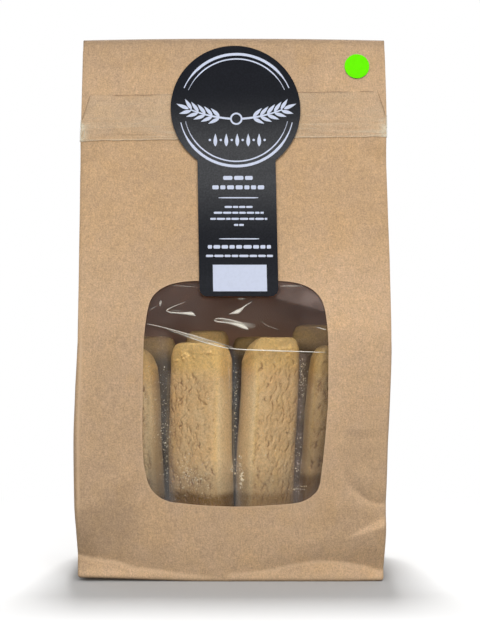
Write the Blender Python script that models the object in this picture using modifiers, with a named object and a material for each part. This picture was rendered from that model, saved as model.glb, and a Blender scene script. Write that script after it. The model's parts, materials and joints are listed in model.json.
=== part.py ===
"""A standing paper bag of shortbread fingers.

A kraft paper bag with a flat block bottom stands upright. Its top is folded over
to the back and held by a strip of clear tape. A clear film closes a rounded
window in its front, and shortbread fingers stand on end behind the film in two
rows. A black keyhole-shaped label and a small round sticker are on the front.

Run with: blender --background --python part.py
Metres, +Z up. The front faces -Y. The origin is the centre of the base.
"""

import math

import bmesh
import bpy

# ---------------------------------------------------------------- the bag
PAPER = 0.0005           # wall of the bag, with its creases
GAP = 0.0003             # clearance between pieces that touch
FLOOR = 0.0006           # thickness of the folded base
GUSSET = 0.032           # half of the depth of the side panels
LEFT_BULGE = 0.0022      # how far the filled sides swell
RIGHT_BULGE = 0.0016
FILLED = 0.099           # the gussets are pushed flat up to here
CORNER = 0.0015          # flat that stands for the soft upright edges
CORNER_SHARE = 0.3       # and it takes at most this share of the bag's depth
TOP = 0.2216             # height of the top fold
PRESSED = 0.178          # the two panels are pressed together above this
CAVITY_TOP = 0.165       # the space inside has closed to a slit here

# Outline of the bag at each height: front panel, back panel, left and right edge.
OUTLINE = (
    # height   front     back      left      right
    (0.0000, -0.0312, 0.0312, -0.0616, 0.0614),
    (0.0015, -0.0320, 0.0320, -0.0621, 0.0619),
    (0.0300, -0.0325, 0.0323, -0.0630, 0.0626),
    (0.0550, -0.0326, 0.0325, -0.0632, 0.0632),
    (0.0970, -0.0320, 0.0315, -0.0622, 0.0650),
    (0.1250, -0.0290, 0.0170, -0.0621, 0.0648),
    (0.1500, -0.0258, 0.0000, -0.0621, 0.0643),
    (0.1700, -0.0233, -0.0135, -0.0622, 0.0640),
    (0.1780, -0.0222, -0.0182, -0.0622, 0.0640),
    (0.1900, -0.0208, -0.0178, -0.0620, 0.0642),
    (0.2216, -0.0172, -0.0148, -0.0616, 0.0637),
)
BAG_HEIGHTS = (0.0, 0.0015, 0.015, 0.030, 0.045, 0.060, 0.078, 0.095, 0.101, 0.107,
               0.115, 0.125, 0.137, 0.150, 0.160, 0.170, PRESSED, 0.190, 0.205, 0.2195, TOP)
SIDE_STEPS = (-0.7, -0.35, 0.0, 0.35, 0.7)

FLAP_LENGTH = 0.044      # how far the folded top reaches down the back
FLAP_THICKNESS = 0.0016  # two panels and two gussets, pressed flat
FLAP_INSET = 0.0006      # the flap is a little narrower than the bag
FLAP_JOIN = 0.004        # height of the fold that joins it to the back

# ---------------------------------------------------------------- the window
WINDOW_CENTRE = (0.0018, 0.0761)    # across and up
WINDOW_HALF = (0.0374, 0.0455)
WINDOW_SQUARENESS = 4.9             # exponent of the rounded outline
WINDOW_DRIFT = 0.010                # sideways drift for each metre up
WINDOW_POINTS = 56
WINDOW_CUT = (-0.040, -0.024)       # the hole is cut between these depths
FILM = 0.0003
FILM_MARGIN = 0.0075                # width glued down round the window

# ---------------------------------------------------------------- stuck on the front
LABEL_RADIUS = 0.0267
LABEL_TOP = 0.2192
LABEL_BOTTOM = 0.1152
LABEL_X = 0.0018                    # centre of the round head
LABEL_SLANT = 0.0185                # sideways drift for each metre down
TAIL_HALF = 0.0160
TAIL_CORNER = 0.0032
NECK = 0.80                         # the tail ends this share of the radius below the head's centre
STICKER = 0.0002                    # thickness of the label and the dot
DOT_CENTRE = (0.0520, 0.2106)
DOT_RADIUS = 0.0051
DOT_SIDES = 32
TAPE = 0.00015
TAPE_LOW = 0.1796
TAPE_WRAP_TOP = 0.1888              # the tape goes round the sides up to here
TAPE_HIGH = 0.1989
TAPE_CHAMFER = 0.0030               # its upper corners slant in by this
TAPE_RETURN = 0.0140                # length of the ends stuck to the back
TAPE_OVERLAP = 0.004                # how far the ends run into the front band

# ---------------------------------------------------------------- the shortbread
# Each finger: centre across, centre deep, turn in degrees, drift, width, thickness,
# height, swell. Its top leans sideways by the drift, and its foot is wider by the swell.
FRONT_ROW = (
    (-0.0388, -0.0190, -17.0, -0.0040, 0.0205, 0.0162, 0.0928, 0.04),
    (-0.0121, -0.0186, -30.0, 0.0000, 0.0242, 0.0160, 0.0953, 0.11),
    (0.0132, -0.0188, 31.0, 0.0034, 0.0212, 0.0162, 0.0975, 0.02),
    (0.0394, -0.0192, 14.0, 0.0040, 0.0208, 0.0160, 0.0940, 0.04),
)
BACK_ROW = (
    (-0.0348, 0.0056, 6.0, 0.0006, 0.0198, 0.0165, 0.0974, 0.03),
    (-0.0114, 0.0054, -7.0, 0.0008, 0.0186, 0.0160, 0.0999, 0.04),
    (0.0096, 0.0056, 5.0, 0.0004, 0.0190, 0.0164, 0.0972, 0.02),
    (0.0352, 0.0052, -6.0, 0.0012, 0.0200, 0.0162, 0.1024, 0.03),
)
FINGER_SQUARENESS = 4.2
FINGER_SIDES = 20
FINGER_STEPS = (0.0, 0.02, 0.06, 0.15, 0.30, 0.47, 0.63, 0.78, 0.89, 0.955, 0.988, 1.0)
FINGER_ROUNDING = 0.060             # share of the length that rounds over at each end
FINGER_SHOULDER = 0.25              # how much narrower it is where it ends
FINGER_WAVER = 0.0003               # sideways wander of its sides


def clear_scene():
    for item in list(bpy.data.objects):
        bpy.data.objects.remove(item, do_unlink=True)


def new_collection(name):
    made = bpy.data.collections.new(name)
    bpy.context.scene.collection.children.link(made)
    return made


def new_material(name, colour, roughness, alpha=1.0):
    made = bpy.data.materials.new(name)
    made.use_nodes = True
    shader = made.node_tree.nodes["Principled BSDF"]
    shader.inputs["Base Color"].default_value = (*colour, 1.0)
    shader.inputs["Roughness"].default_value = roughness
    shader.inputs["Metallic"].default_value = 0.0
    shader.inputs["Alpha"].default_value = alpha
    return made


def smooth(height, column):
    """The OUTLINE column at this height, along a smooth curve through its rows."""
    rows = OUTLINE
    last = len(rows) - 2
    index = 0
    while index < last and height > rows[index + 1][0]:
        index += 1
    low, high = rows[index], rows[index + 1]
    span = high[0] - low[0]
    share = min(max((height - low[0]) / span, 0.0), 1.0)
    slope_low = slope_at(index, column) * span
    slope_high = slope_at(index + 1, column) * span
    square, cube = share ** 2, share ** 3
    return ((2 * cube - 3 * square + 1) * low[column] + (cube - 2 * square + share) * slope_low
            + (3 * square - 2 * cube) * high[column] + (cube - square) * slope_high)


def slope_at(index, column):
    """Slope of the curve at one row: the gentler of the slopes on its two sides."""
    slopes = []
    for a, b in ((index - 1, index), (index, index + 1)):
        if a >= 0 and b < len(OUTLINE):
            rise = OUTLINE[b][column] - OUTLINE[a][column]
            slopes.append(rise / (OUTLINE[b][0] - OUTLINE[a][0]))
    if len(slopes) == 2 and slopes[0] * slopes[1] <= 0:
        return 0.0
    return min(slopes, key=abs)


def front(height):
    return smooth(height, 1)


def back(height):
    return smooth(height, 2)


def left(height):
    return smooth(height, 3)


def right(height):
    return smooth(height, 4)


def side_offset(height, step, bulge):
    """How far a side stands out (+) or folds in (-) at a step from front (-1) to back (+1)."""
    if height >= PRESSED:
        return 0.0
    if height > FILLED:
        half_depth = (back(height) - front(height)) / 2
        fold = math.sqrt(max(GUSSET ** 2 - half_depth ** 2, 0.0))
        return -fold * (1 - abs(step))
    fullness = max(math.sin(math.pi * height / FILLED), 0.0) ** 0.6
    return bulge * fullness * (1 - step ** 4)


def bag_section(height):
    """The bag's outline at one height, as points in the XY plane."""
    y0, y1, x0, x1 = front(height), back(height), left(height), right(height)
    corner = min(CORNER, (y1 - y0) * CORNER_SHARE)
    middle, half = (y0 + y1) / 2, (y1 - y0) / 2 - corner
    points = [(x0 + corner, y0), (x1 - corner, y0), (x1, y0 + corner)]
    points += [(x1 + side_offset(height, s, RIGHT_BULGE), middle + s * half) for s in SIDE_STEPS]
    points += [(x1, y1 - corner), (x1 - corner, y1), (x0 + corner, y1), (x0, y1 - corner)]
    points += [(x0 - side_offset(height, s, LEFT_BULGE), middle + s * half) for s in reversed(SIDE_STEPS)]
    points += [(x0, y0 + corner)]
    return points


def inset(points, distance):
    """The outline moved inwards by the distance, each edge staying parallel."""
    moved = []
    count = len(points)
    for i in range(count):
        before, here, after = points[i - 1], points[i], points[(i + 1) % count]
        ax, ay = unit(here[0] - before[0], here[1] - before[1])
        bx, by = unit(after[0] - here[0], after[1] - here[1])
        scale = distance / (1 + ax * bx + ay * by)
        moved.append((here[0] - (ay + by) * scale, here[1] + (ax + bx) * scale))
    return moved


def unit(x, y):
    length = math.hypot(x, y)
    return x / length, y / length


def loft(name, rings, home, surface):
    """One closed solid through rings of points, each ring with the same count."""
    mesh = bmesh.new()
    made = [[mesh.verts.new(point) for point in ring] for ring in rings]
    count = len(rings[0])
    for low, high in zip(made, made[1:]):
        for i in range(count):
            j = (i + 1) % count
            mesh.faces.new((low[i], low[j], high[j], high[i]))
    mesh.faces.new(list(reversed(made[0])))
    mesh.faces.new(made[-1])
    bmesh.ops.recalc_face_normals(mesh, faces=mesh.faces)
    data = bpy.data.meshes.new(name)
    mesh.to_mesh(data)
    mesh.free()
    item = bpy.data.objects.new(name, data)
    if surface:
        data.materials.append(surface)
    home.objects.link(item)
    return item


def sheet(name, rows, thickness, home, surface):
    """A thin layer: an open surface through rows of (low x, high x, y, z), thickened backwards."""
    mesh = bmesh.new()
    made = [(mesh.verts.new((low_x, y, z)), mesh.verts.new((high_x, y, z)))
            for low_x, high_x, y, z in rows]
    for low, high in zip(made, made[1:]):
        mesh.faces.new((low[0], low[1], high[1], high[0]))
    data = bpy.data.meshes.new(name)
    mesh.to_mesh(data)
    mesh.free()
    data.materials.append(surface)
    item = bpy.data.objects.new(name, data)
    home.objects.link(item)
    shell = item.modifiers.new("thickness", "SOLIDIFY")
    shell.thickness = thickness
    shell.offset = -1.0
    return item


def smooth_shaded(item, angle=40.0):
    item.data.shade_smooth()
    item.data.set_sharp_from_angle(angle=math.radians(angle))
    return item


def as_cutter(item):
    item.hide_render = True
    item.display_type = "WIRE"
    return item


def boolean(item, other, operation):
    step = item.modifiers.new(f"{operation.lower()}_{other.name}", "BOOLEAN")
    step.operation = operation
    step.solver = "EXACT"
    step.object = other


def layer_section(low_x, high_x, outer, thickness):
    """Section of a thin flat layer: outer is its front face, at a smaller y."""
    return [(low_x, outer), (high_x, outer), (high_x, outer + thickness), (low_x, outer + thickness)]


def at_height(points, height):
    return [(x, y, height) for x, y in points]


def spread(low, high, steps):
    return [low + (high - low) * i / steps for i in range(steps + 1)]


def rounded_square(share, squareness):
    """A point of a square with bowed sides and round corners, at a share of one turn."""
    c, s = math.cos(2 * math.pi * share), math.sin(2 * math.pi * share)
    power = 2 / squareness
    return math.copysign(abs(c) ** power, c), math.copysign(abs(s) ** power, s)


def window_outline():
    """The window's outline in the XZ plane, going round once."""
    points = []
    for i in range(WINDOW_POINTS):
        across, up = rounded_square(i / WINDOW_POINTS, WINDOW_SQUARENESS)
        rise = WINDOW_HALF[1] * up
        points.append((WINDOW_CENTRE[0] + WINDOW_HALF[0] * across + WINDOW_DRIFT * rise,
                       WINDOW_CENTRE[1] + rise))
    return points


def make_bag(home, cutters, paper):
    """The paper: outside, less the space inside and the window, plus the flap at the back."""
    outside = [at_height(bag_section(z), z) for z in BAG_HEIGHTS]
    bag = loft("paper_bag", outside, home, paper)

    inner_heights = [FLOOR] + [z for z in BAG_HEIGHTS if CORNER < z < CAVITY_TOP] + [CAVITY_TOP]
    inside = [at_height(inset(bag_section(z), PAPER), z) for z in inner_heights]
    boolean(bag, as_cutter(loft("bag_inside", inside, cutters, None)), "DIFFERENCE")

    rings = [[(x, y, z) for x, z in window_outline()] for y in WINDOW_CUT]
    boolean(bag, as_cutter(loft("window_hole", rings, cutters, None)), "DIFFERENCE")

    flap = []
    for z in spread(TOP - FLAP_LENGTH, TOP, 6):
        inner = back(z) + GAP
        if z > TOP - FLAP_JOIN:
            inner = back(z) - PAPER * 2
        flap.append(at_height(layer_section(left(z) + FLAP_INSET, right(z) - FLAP_INSET, inner,
                                            back(z) + GAP + FLAP_THICKNESS - inner), z))
    boolean(bag, as_cutter(loft("folded_top", flap, cutters, None)), "UNION")
    return smooth_shaded(bag)


def make_film(home, clear):
    """The clear film behind the window, glued round it to the inside of the front."""
    half = WINDOW_HALF[0] + FILM_MARGIN
    low = WINDOW_CENTRE[1] - WINDOW_HALF[1] - FILM_MARGIN
    high = WINDOW_CENTRE[1] + WINDOW_HALF[1] + FILM_MARGIN
    rows = [(WINDOW_CENTRE[0] - half, WINDOW_CENTRE[0] + half, front(z) + PAPER + GAP, z)
            for z in spread(low, high, 12)]
    return sheet("window_film", rows, FILM, home, clear)


def label_half_width(height):
    """Half the label's width at a height: a round head on a straight tail."""
    centre = LABEL_TOP - LABEL_RADIUS
    head = math.sqrt(max(LABEL_RADIUS ** 2 - (height - centre) ** 2, 0.0))
    tail = 0.0
    if height < centre:
        tail = TAIL_HALF
        rise = height - LABEL_BOTTOM
        if rise < TAIL_CORNER:
            tail -= TAIL_CORNER - math.sqrt(TAIL_CORNER ** 2 - (TAIL_CORNER - rise) ** 2)
    return max(head, tail)


def make_label(home, black):
    """The keyhole label: its head is round and its tail hangs down over the window."""
    centre = LABEL_TOP - LABEL_RADIUS
    heights = [LABEL_BOTTOM + TAIL_CORNER * (1 - math.cos(math.radians(a))) for a in (0, 30, 60, 90)]
    heights += spread(LABEL_BOTTOM + 2 * TAIL_CORNER, centre - LABEL_RADIUS * NECK, 5)
    heights += [centre - LABEL_RADIUS * math.cos(math.radians(a)) for a in range(46, 173, 9)]
    rows = []
    for z in heights:
        half = label_half_width(z)
        middle = LABEL_X + (centre - z) * LABEL_SLANT
        rows.append((middle - half, middle + half, front(z) - 2 * GAP - TAPE - STICKER, z))
    return sheet("label", rows, STICKER, home, black)


def make_dot(home, green):
    """The small round sticker in the upper corner: a disc tilted with the panel under it."""
    mesh = bmesh.new()
    bmesh.ops.create_cone(mesh, cap_ends=True, segments=DOT_SIDES, radius1=DOT_RADIUS,
                          radius2=DOT_RADIUS, depth=STICKER)
    data = bpy.data.meshes.new("dot_sticker")
    mesh.to_mesh(data)
    mesh.free()
    data.materials.append(green)
    item = bpy.data.objects.new("dot_sticker", data)
    x, z = DOT_CENTRE
    slope = (front(z + DOT_RADIUS) - front(z - DOT_RADIUS)) / (2 * DOT_RADIUS)
    item.location = (x, front(z) - GAP - STICKER / 2, z)
    item.rotation_euler = (math.atan2(1.0, slope), 0.0, 0.0)
    home.objects.link(item)
    return item


def make_tape(home, cutters, clear):
    """The clear tape: across the front, round both sides and onto the folded top."""
    rings = []
    for z in spread(TAPE_LOW, TAPE_HIGH, 6):
        slant = TAPE_CHAMFER * max(z - TAPE_WRAP_TOP, 0.0) / (TAPE_HIGH - TAPE_WRAP_TOP)
        rings.append(at_height(layer_section(left(z) + slant, right(z) - slant,
                                             front(z) - GAP - TAPE, TAPE), z))
    tape = loft("closing_tape", rings, home, clear)
    for name, edge, out in (("left_end", left, -1.0), ("right_end", right, 1.0)):
        rings = []
        for z in spread(TAPE_LOW, TAPE_WRAP_TOP, 3):
            x, y0 = edge(z), front(z) - GAP
            y1 = back(z) + 2 * GAP + FLAP_THICKNESS
            side, skin = x + out * GAP, out * TAPE
            section = [(x - out * TAPE_OVERLAP, y0 - TAPE), (side + skin, y0 - TAPE),
                       (side + skin, y1 + TAPE), (x - out * TAPE_RETURN, y1 + TAPE),
                       (x - out * TAPE_RETURN, y1), (side, y1), (side, y0),
                       (x - out * TAPE_OVERLAP, y0)]
            if out < 0:
                section.reverse()
            rings.append(at_height(section, z))
        boolean(tape, as_cutter(loft(f"tape_{name}", rings, cutters, None)), "UNION")
    return tape


def finger_section(share, width, thickness, swell):
    """Outline of a shortbread finger at a share of its length, round its own axis."""
    end = min(share, 1 - share) / FINGER_ROUNDING
    rounding = 1.0
    if end < 1.0:
        rounding = 1 - FINGER_SHOULDER * (1 - math.sqrt(1 - (1 - end) ** 2))
    grow = rounding * (1 + swell * (0.5 - share))
    points = []
    for i in range(FINGER_SIDES):
        across, deep = rounded_square(i / FINGER_SIDES, FINGER_SQUARENESS)
        points.append((across * grow * width / 2, deep * grow * thickness / 2))
    return points


def make_finger(name, row, home, crumb):
    """One shortbread finger, standing on its end on the floor of the bag."""
    across, deep, turn, drift, width, thickness, height, swell = row
    c, s = math.cos(math.radians(turn)), math.sin(math.radians(turn))
    rings = []
    for share in FINGER_STEPS:
        z = FLOOR + GAP + height * share
        waver = FINGER_WAVER * math.sin(9.0 * share + 40.0 * across)
        ring = []
        for x, y in finger_section(share, width, thickness, swell):
            ring.append((across + drift * share + waver + x * c - y * s, deep + x * s + y * c, z))
        rings.append(ring)
    return smooth_shaded(loft(name, rings, home, crumb))


def main():
    clear_scene()
    home = new_collection("shortbread_window_bag")
    cutters = new_collection("cutters")
    paper = new_material("kraft_paper", (0.53, 0.36, 0.22), 0.85)
    clear = new_material("clear_film", (0.90, 0.92, 0.92), 0.12, alpha=0.25)
    black = new_material("black_label", (0.020, 0.021, 0.026), 0.45)
    green = new_material("green_sticker", (0.16, 0.97, 0.01), 0.50)
    strip = new_material("clear_tape", (0.85, 0.83, 0.74), 0.15, alpha=0.25)
    crumb = new_material("shortbread", (0.47, 0.31, 0.16), 0.80)

    make_bag(home, cutters, paper)
    make_film(home, clear)
    make_label(home, black)
    make_dot(home, green)
    make_tape(home, cutters, strip)
    for row_name, row in (("front", FRONT_ROW), ("back", BACK_ROW)):
        for number, finger in enumerate(row, start=1):
            make_finger(f"finger_{row_name}_{number}", finger, home, crumb)


main()
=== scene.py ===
import json
import math

import bmesh
import bpy
import numpy as np
from mathutils import Euler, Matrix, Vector

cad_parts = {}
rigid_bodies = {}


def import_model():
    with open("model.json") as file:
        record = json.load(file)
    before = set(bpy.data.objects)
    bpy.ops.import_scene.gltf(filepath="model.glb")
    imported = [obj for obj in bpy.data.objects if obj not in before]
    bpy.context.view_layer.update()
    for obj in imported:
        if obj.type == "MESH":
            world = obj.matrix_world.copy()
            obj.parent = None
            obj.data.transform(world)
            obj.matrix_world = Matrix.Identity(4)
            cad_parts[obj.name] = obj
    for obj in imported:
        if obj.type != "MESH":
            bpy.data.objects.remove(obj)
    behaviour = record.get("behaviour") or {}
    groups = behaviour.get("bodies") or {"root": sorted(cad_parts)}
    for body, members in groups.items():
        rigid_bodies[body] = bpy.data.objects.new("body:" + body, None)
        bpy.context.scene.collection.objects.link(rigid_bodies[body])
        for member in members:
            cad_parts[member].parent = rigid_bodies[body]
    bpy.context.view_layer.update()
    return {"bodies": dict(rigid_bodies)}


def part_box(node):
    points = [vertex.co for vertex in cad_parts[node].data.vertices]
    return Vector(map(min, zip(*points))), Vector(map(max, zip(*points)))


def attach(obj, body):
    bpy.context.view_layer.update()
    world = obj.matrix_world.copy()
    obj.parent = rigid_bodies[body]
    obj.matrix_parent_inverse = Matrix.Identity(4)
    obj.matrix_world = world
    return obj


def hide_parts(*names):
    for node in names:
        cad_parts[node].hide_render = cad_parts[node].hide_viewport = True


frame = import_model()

bl_info = {
    "name": "Shortbread Window Bag",
    "version": (1, 0, 0),
    "blender": (4, 5, 0),
    "location": "View3D > Sidebar > Shortbread",
    "description": "Dresses the frame of a window bag of shortbread: paper, film, label, tape, biscuits and crumbs",
    "category": "Object",
}

BODY = list(frame["bodies"])[0]
MM = 0.001
FINGERS = [f"finger_{row}_{number}" for row in ("front", "back") for number in (1, 2, 3, 4)]


# ------------------------------------------------------------ numbers that vary over a surface
def hashed(ix, iy, iz, seed):
    """A repeatable value from 0 to 1 for each whole-number point."""
    mask = np.uint64(0xFFFFFFFF)
    with np.errstate(over="ignore"):
        n = (ix.astype(np.int64).astype(np.uint64) * np.uint64(374761393)
             + iy.astype(np.int64).astype(np.uint64) * np.uint64(668265263)
             + iz.astype(np.int64).astype(np.uint64) * np.uint64(974634777)
             + np.uint64(seed * 362437 + 12345)) & mask
        n = ((n ^ (n >> np.uint64(13))) * np.uint64(1274126177)) & mask
        n = ((n ^ (n >> np.uint64(16))) * np.uint64(2246822519)) & mask
    return ((n >> np.uint64(8)) & np.uint64(0xFFFF)).astype(float) / 65535.0


def ripple(x, y, z, seed=0):
    """Smooth noise from -1 to 1 over arrays of points, one wave for about each unit."""
    x, y, z = np.broadcast_arrays(np.asarray(x, float), np.asarray(y, float), np.asarray(z, float))
    fx, fy, fz = np.floor(x), np.floor(y), np.floor(z)
    tx, ty, tz = x - fx, y - fy, z - fz
    tx, ty, tz = (t * t * t * (t * (t * 6 - 15) + 10) for t in (tx, ty, tz))
    total = np.zeros(x.shape)
    for dx in (0, 1):
        for dy in (0, 1):
            for dz in (0, 1):
                weight = (tx if dx else 1 - tx) * (ty if dy else 1 - ty) * (tz if dz else 1 - tz)
                total += weight * hashed(fx + dx, fy + dy, fz + dz, seed)
    return total * 2 - 1


def layered(x, y, z, octaves, seed=0):
    """Several octaves of ripple, each half as strong and twice as fine."""
    total, strength, reach = 0.0, 1.0, 0.0
    for octave in range(octaves):
        scale = 2.0 ** octave
        total = total + strength * ripple(x * scale, y * scale, z * scale, seed + octave)
        reach += strength
        strength *= 0.5
    return total / reach


def ease(value):
    """0 below 0, 1 above 1 and a smooth step between."""
    t = np.clip(value, 0.0, 1.0)
    return t * t * (3 - 2 * t)


def along(value, table):
    """Reads a table of (position, value) pairs in millimetres at positions in metres."""
    places, values = zip(*table)
    return np.interp(np.asarray(value) / MM, places, values) * MM


def to_segment(x, z, a, b):
    """Distance from points to a line segment, and the share of the way along it."""
    ax, az, bx, bz = a[0], a[1], b[0], b[1]
    length = (bx - ax) ** 2 + (bz - az) ** 2
    share = np.clip(((x - ax) * (bx - ax) + (z - az) * (bz - az)) / length, 0.0, 1.0)
    return np.hypot(x - (ax + share * (bx - ax)), z - (az + share * (bz - az))), share


# ------------------------------------------------------------ the bag's outline, as the solid has it
OUTLINE = (
    # height, front, back, left edge, right edge
    (0.0000, -0.0312, 0.0312, -0.0616, 0.0614),
    (0.0015, -0.0320, 0.0320, -0.0621, 0.0619),
    (0.0300, -0.0325, 0.0323, -0.0630, 0.0626),
    (0.0550, -0.0326, 0.0325, -0.0632, 0.0632),
    (0.0970, -0.0320, 0.0315, -0.0622, 0.0650),
    (0.1250, -0.0290, 0.0170, -0.0621, 0.0648),
    (0.1500, -0.0258, 0.0000, -0.0621, 0.0643),
    (0.1700, -0.0233, -0.0135, -0.0622, 0.0640),
    (0.1780, -0.0222, -0.0182, -0.0622, 0.0640),
    (0.1900, -0.0208, -0.0178, -0.0620, 0.0642),
    (0.2216, -0.0172, -0.0148, -0.0616, 0.0637),
)
TOP = 0.2216
PRESSED = 0.178
FILLED = 0.099
GUSSET = 0.032
CORNER = 0.0015
LEFT_BULGE = 0.0022
RIGHT_BULGE = 0.0016
FLAP_LENGTH = 0.044
FLAP_THICKNESS = 0.0016
PAPER_STEP = 0.0003      # the sheet's thickness as drawn
WINDOW_CENTRE = (0.0018, 0.0761)
WINDOW_HALF = (0.0374, 0.0455)
WINDOW_SQUARENESS = 4.9
WINDOW_DRIFT = 0.010
LABEL_RADIUS = 0.0267
LABEL_TOP = 0.2192
LABEL_BOTTOM = 0.1152
LABEL_X = 0.0018
LABEL_SLANT = 0.0185
TAIL_HALF = 0.0160
TAIL_CORNER = 0.0032
DOT_CENTRE = (0.0520, 0.2106)
DOT_RADIUS = 0.0051
TAPE_LOW = 0.1796
TAPE_WRAP_TOP = 0.1888
TAPE_HIGH = 0.1989
TAPE_CHAMFER = 0.0030
TAPE_RETURN = 0.0140


def outline_curves():
    """Fine tables of the four outline columns, each a smooth curve through its rows."""
    rows = np.array(OUTLINE)
    heights = np.linspace(0.0, TOP, 900)
    spans = np.diff(rows[:, 0])
    curves = []
    for column in range(1, 5):
        slopes = np.diff(rows[:, column]) / spans
        knots = [slopes[0]]
        for a, b in zip(slopes, slopes[1:]):
            knots.append(0.0 if a * b <= 0 else min(a, b, key=abs))
        knots.append(slopes[-1])
        knots = np.array(knots)
        index = np.clip(np.searchsorted(rows[:, 0], heights, side="right") - 1, 0, len(spans) - 1)
        t = (heights - rows[index, 0]) / spans[index]
        low, high = rows[index, column], rows[index + 1, column]
        m0, m1 = knots[index] * spans[index], knots[index + 1] * spans[index]
        curves.append((2 * t ** 3 - 3 * t ** 2 + 1) * low + (t ** 3 - 2 * t ** 2 + t) * m0
                      + (3 * t ** 2 - 2 * t ** 3) * high + (t ** 3 - t ** 2) * m1)
    return heights, curves


CURVE_HEIGHTS, CURVES = outline_curves()


def front(z):
    return np.interp(z, CURVE_HEIGHTS, CURVES[0])


def back(z):
    return np.interp(z, CURVE_HEIGHTS, CURVES[1])


def left(z):
    return np.interp(z, CURVE_HEIGHTS, CURVES[2])


def right(z):
    return np.interp(z, CURVE_HEIGHTS, CURVES[3])


# Folds and dents of the front panel, in millimetres across and up.
FOOT_FOLD = ((-63, 10.6), (-55.6, 9.0), (-50, 8.4), (-45, 7.6), (-38.3, 5.4), (-17.3, 3.2), (-5, 1.6),
             (-2.0, 1.0), (-0.6, 3.7), (3, 3.5), (14, 4.6), (24.6, 6.9), (35.9, 8.5), (44, 8.0), (54, 6.2),
             (59, 4.4), (63, 4.1))
FOOT_DEPTH = ((-63, 3.3), (-50, 2.6), (-38, 1.6), (-20, 0.85), (-3, 0.35), (0, 0.75), (12, 0.80), (24, 1.3),
              (36, 1.9), (46, 2.1), (56, 2.2), (63, 2.2))
FOOT_REACH = ((-63, 22), (-45, 20), (-30, 15), (0, 9), (24, 10), (45, 12), (63, 13))
DENTS = (
    # centre across and up, half sizes along and across it, turn in degrees, depth
    (53.5, 58.5, 6.5, 1.5, -4, 0.30), (51.0, 61.5, 6.5, 1.6, -6, -0.28), (56.0, 47.0, 6.0, 4.0, -30, 0.35),
    (46.0, 53.0, 9.0, 3.0, -35, -0.25), (-57.0, 170.5, 8.0, 4.5, 38, 0.80), (59.5, 171.5, 8.0, 4.5, -40, 0.85),
    (-49.0, 36.0, 17.0, 5.0, 42, -0.75), (-57.0, 44.0, 8.0, 4.5, 55, 0.35), (-58.0, 56.0, 7.0, 2.0, 60, 0.22),
    (-61.0, 100.0, 4.0, 30.0, 0, 0.25), (57.0, 95.0, 9.0, 26.0, 5, -0.30), (-50.0, 128.0, 11.0, 22.0, -8, -0.28),
    (30.0, 150.0, 16.0, 16.0, 0, 0.18), (-32.0, 155.0, 14.0, 20.0, 0, 0.15), (38.0, 22.0, 14.0, 5.0, 20, 0.30),
    (-34.0, 18.0, 8.0, 9.0, 0, -0.20), (10.0, 20.0, 18.0, 5.0, 0, -0.25),
)


def fold_line(z):
    """Where the left-hand edge of the front panel is creased."""
    return left(z) + 1.45 * MM * ease((z - 0.012) / 0.012) * ease((0.121 - z) / 0.028)


def relief(x, z):
    """How far the front panel's face is pressed in (+) or stands out (-) at each point."""
    x, z = np.asarray(x, float), np.asarray(z, float)
    fold, depth, reach = along(x, FOOT_FOLD), along(x, FOOT_DEPTH), along(x, FOOT_REACH)
    under = np.clip(z / fold, 0.0, 1.0)
    over = np.clip((z - fold) / reach, 0.0, 1.0)
    total = depth * np.where(z < fold, under ** 1.1, (1 - over) ** 1.9)

    # a bright facet that widens from a point to the right-hand edge, over a dark one
    out = np.clip((x - 45.5 * MM) / (17.5 * MM), 0.0, 1.2)
    high, low = (17.3 + 9.8 * out) * MM, (17.3 + 5.6 * out) * MM
    step = np.clip((high - z) / np.maximum(high - low, 0.3 * MM), 0.0, 1.0)
    fall = ease((low - z) / (low - 7 * MM))
    total = total - 1.9 * MM * out * np.where(z > low, step, 1 - fall) * (z < high)

    # the crease above it, from the window's corner to the edge, with a dark facet over it
    crease = along(x, ((41, 50), (44.5, 44.0), (47.6, 38.9), (52, 34.6), (56.5, 31.9), (63, 31.4)))
    near = ease((x - 42 * MM) / (9 * MM))
    above = np.clip(1 - (z - crease) / (8.0 * MM), 0, 1) ** 1.6
    below = np.exp(-np.clip(crease - z, 0, None) / (2.2 * MM))
    total = total + 1.05 * MM * near * np.where(z > crease, above, below)

    for cx, cz, wide, tall, turn, deep in DENTS:
        c, s = math.cos(math.radians(turn)), math.sin(math.radians(turn))
        dx, dz = x / MM - cx, z / MM - cz
        total = total + deep * MM * np.exp(-((dx * c + dz * s) / wide) ** 2 - ((dz * c - dx * s) / tall) ** 2)

    # soft waves of the whole panel, and fine cockles
    total = total + 0.30 * MM * ripple(x * 26, 0.0, z * 17, 3) * ease(z / 0.03)
    total = total + 0.09 * MM * layered(x * 75, 0.0, z * 60, 3, 8)
    # the left-hand edge turns back behind its crease
    total = total + 1.7 * np.clip(fold_line(z) - x, 0.0, None)
    # nothing moves at the top fold
    return total * ease((TOP - 0.0015 - z) / 0.012)


def face(x, z):
    """The front panel's outer face."""
    return front(z) + relief(x, z)


def side_offset(z, step, bulge):
    """How far a side stands out (+) or folds in (-) from front (-1) to back (+1)."""
    half = (back(z) - front(z)) / 2
    fold = np.sqrt(np.clip(GUSSET ** 2 - half ** 2, 0.0, None)) * (1 - np.abs(step))
    fold = fold * (z < PRESSED) * ease((z - 0.093) / 0.017)
    fullness = np.clip(np.sin(np.pi * np.clip(z / FILLED, 0, 1)), 0.0, 1.0) ** 0.6
    return bulge * fullness * (1 - step ** 4) - fold


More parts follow.
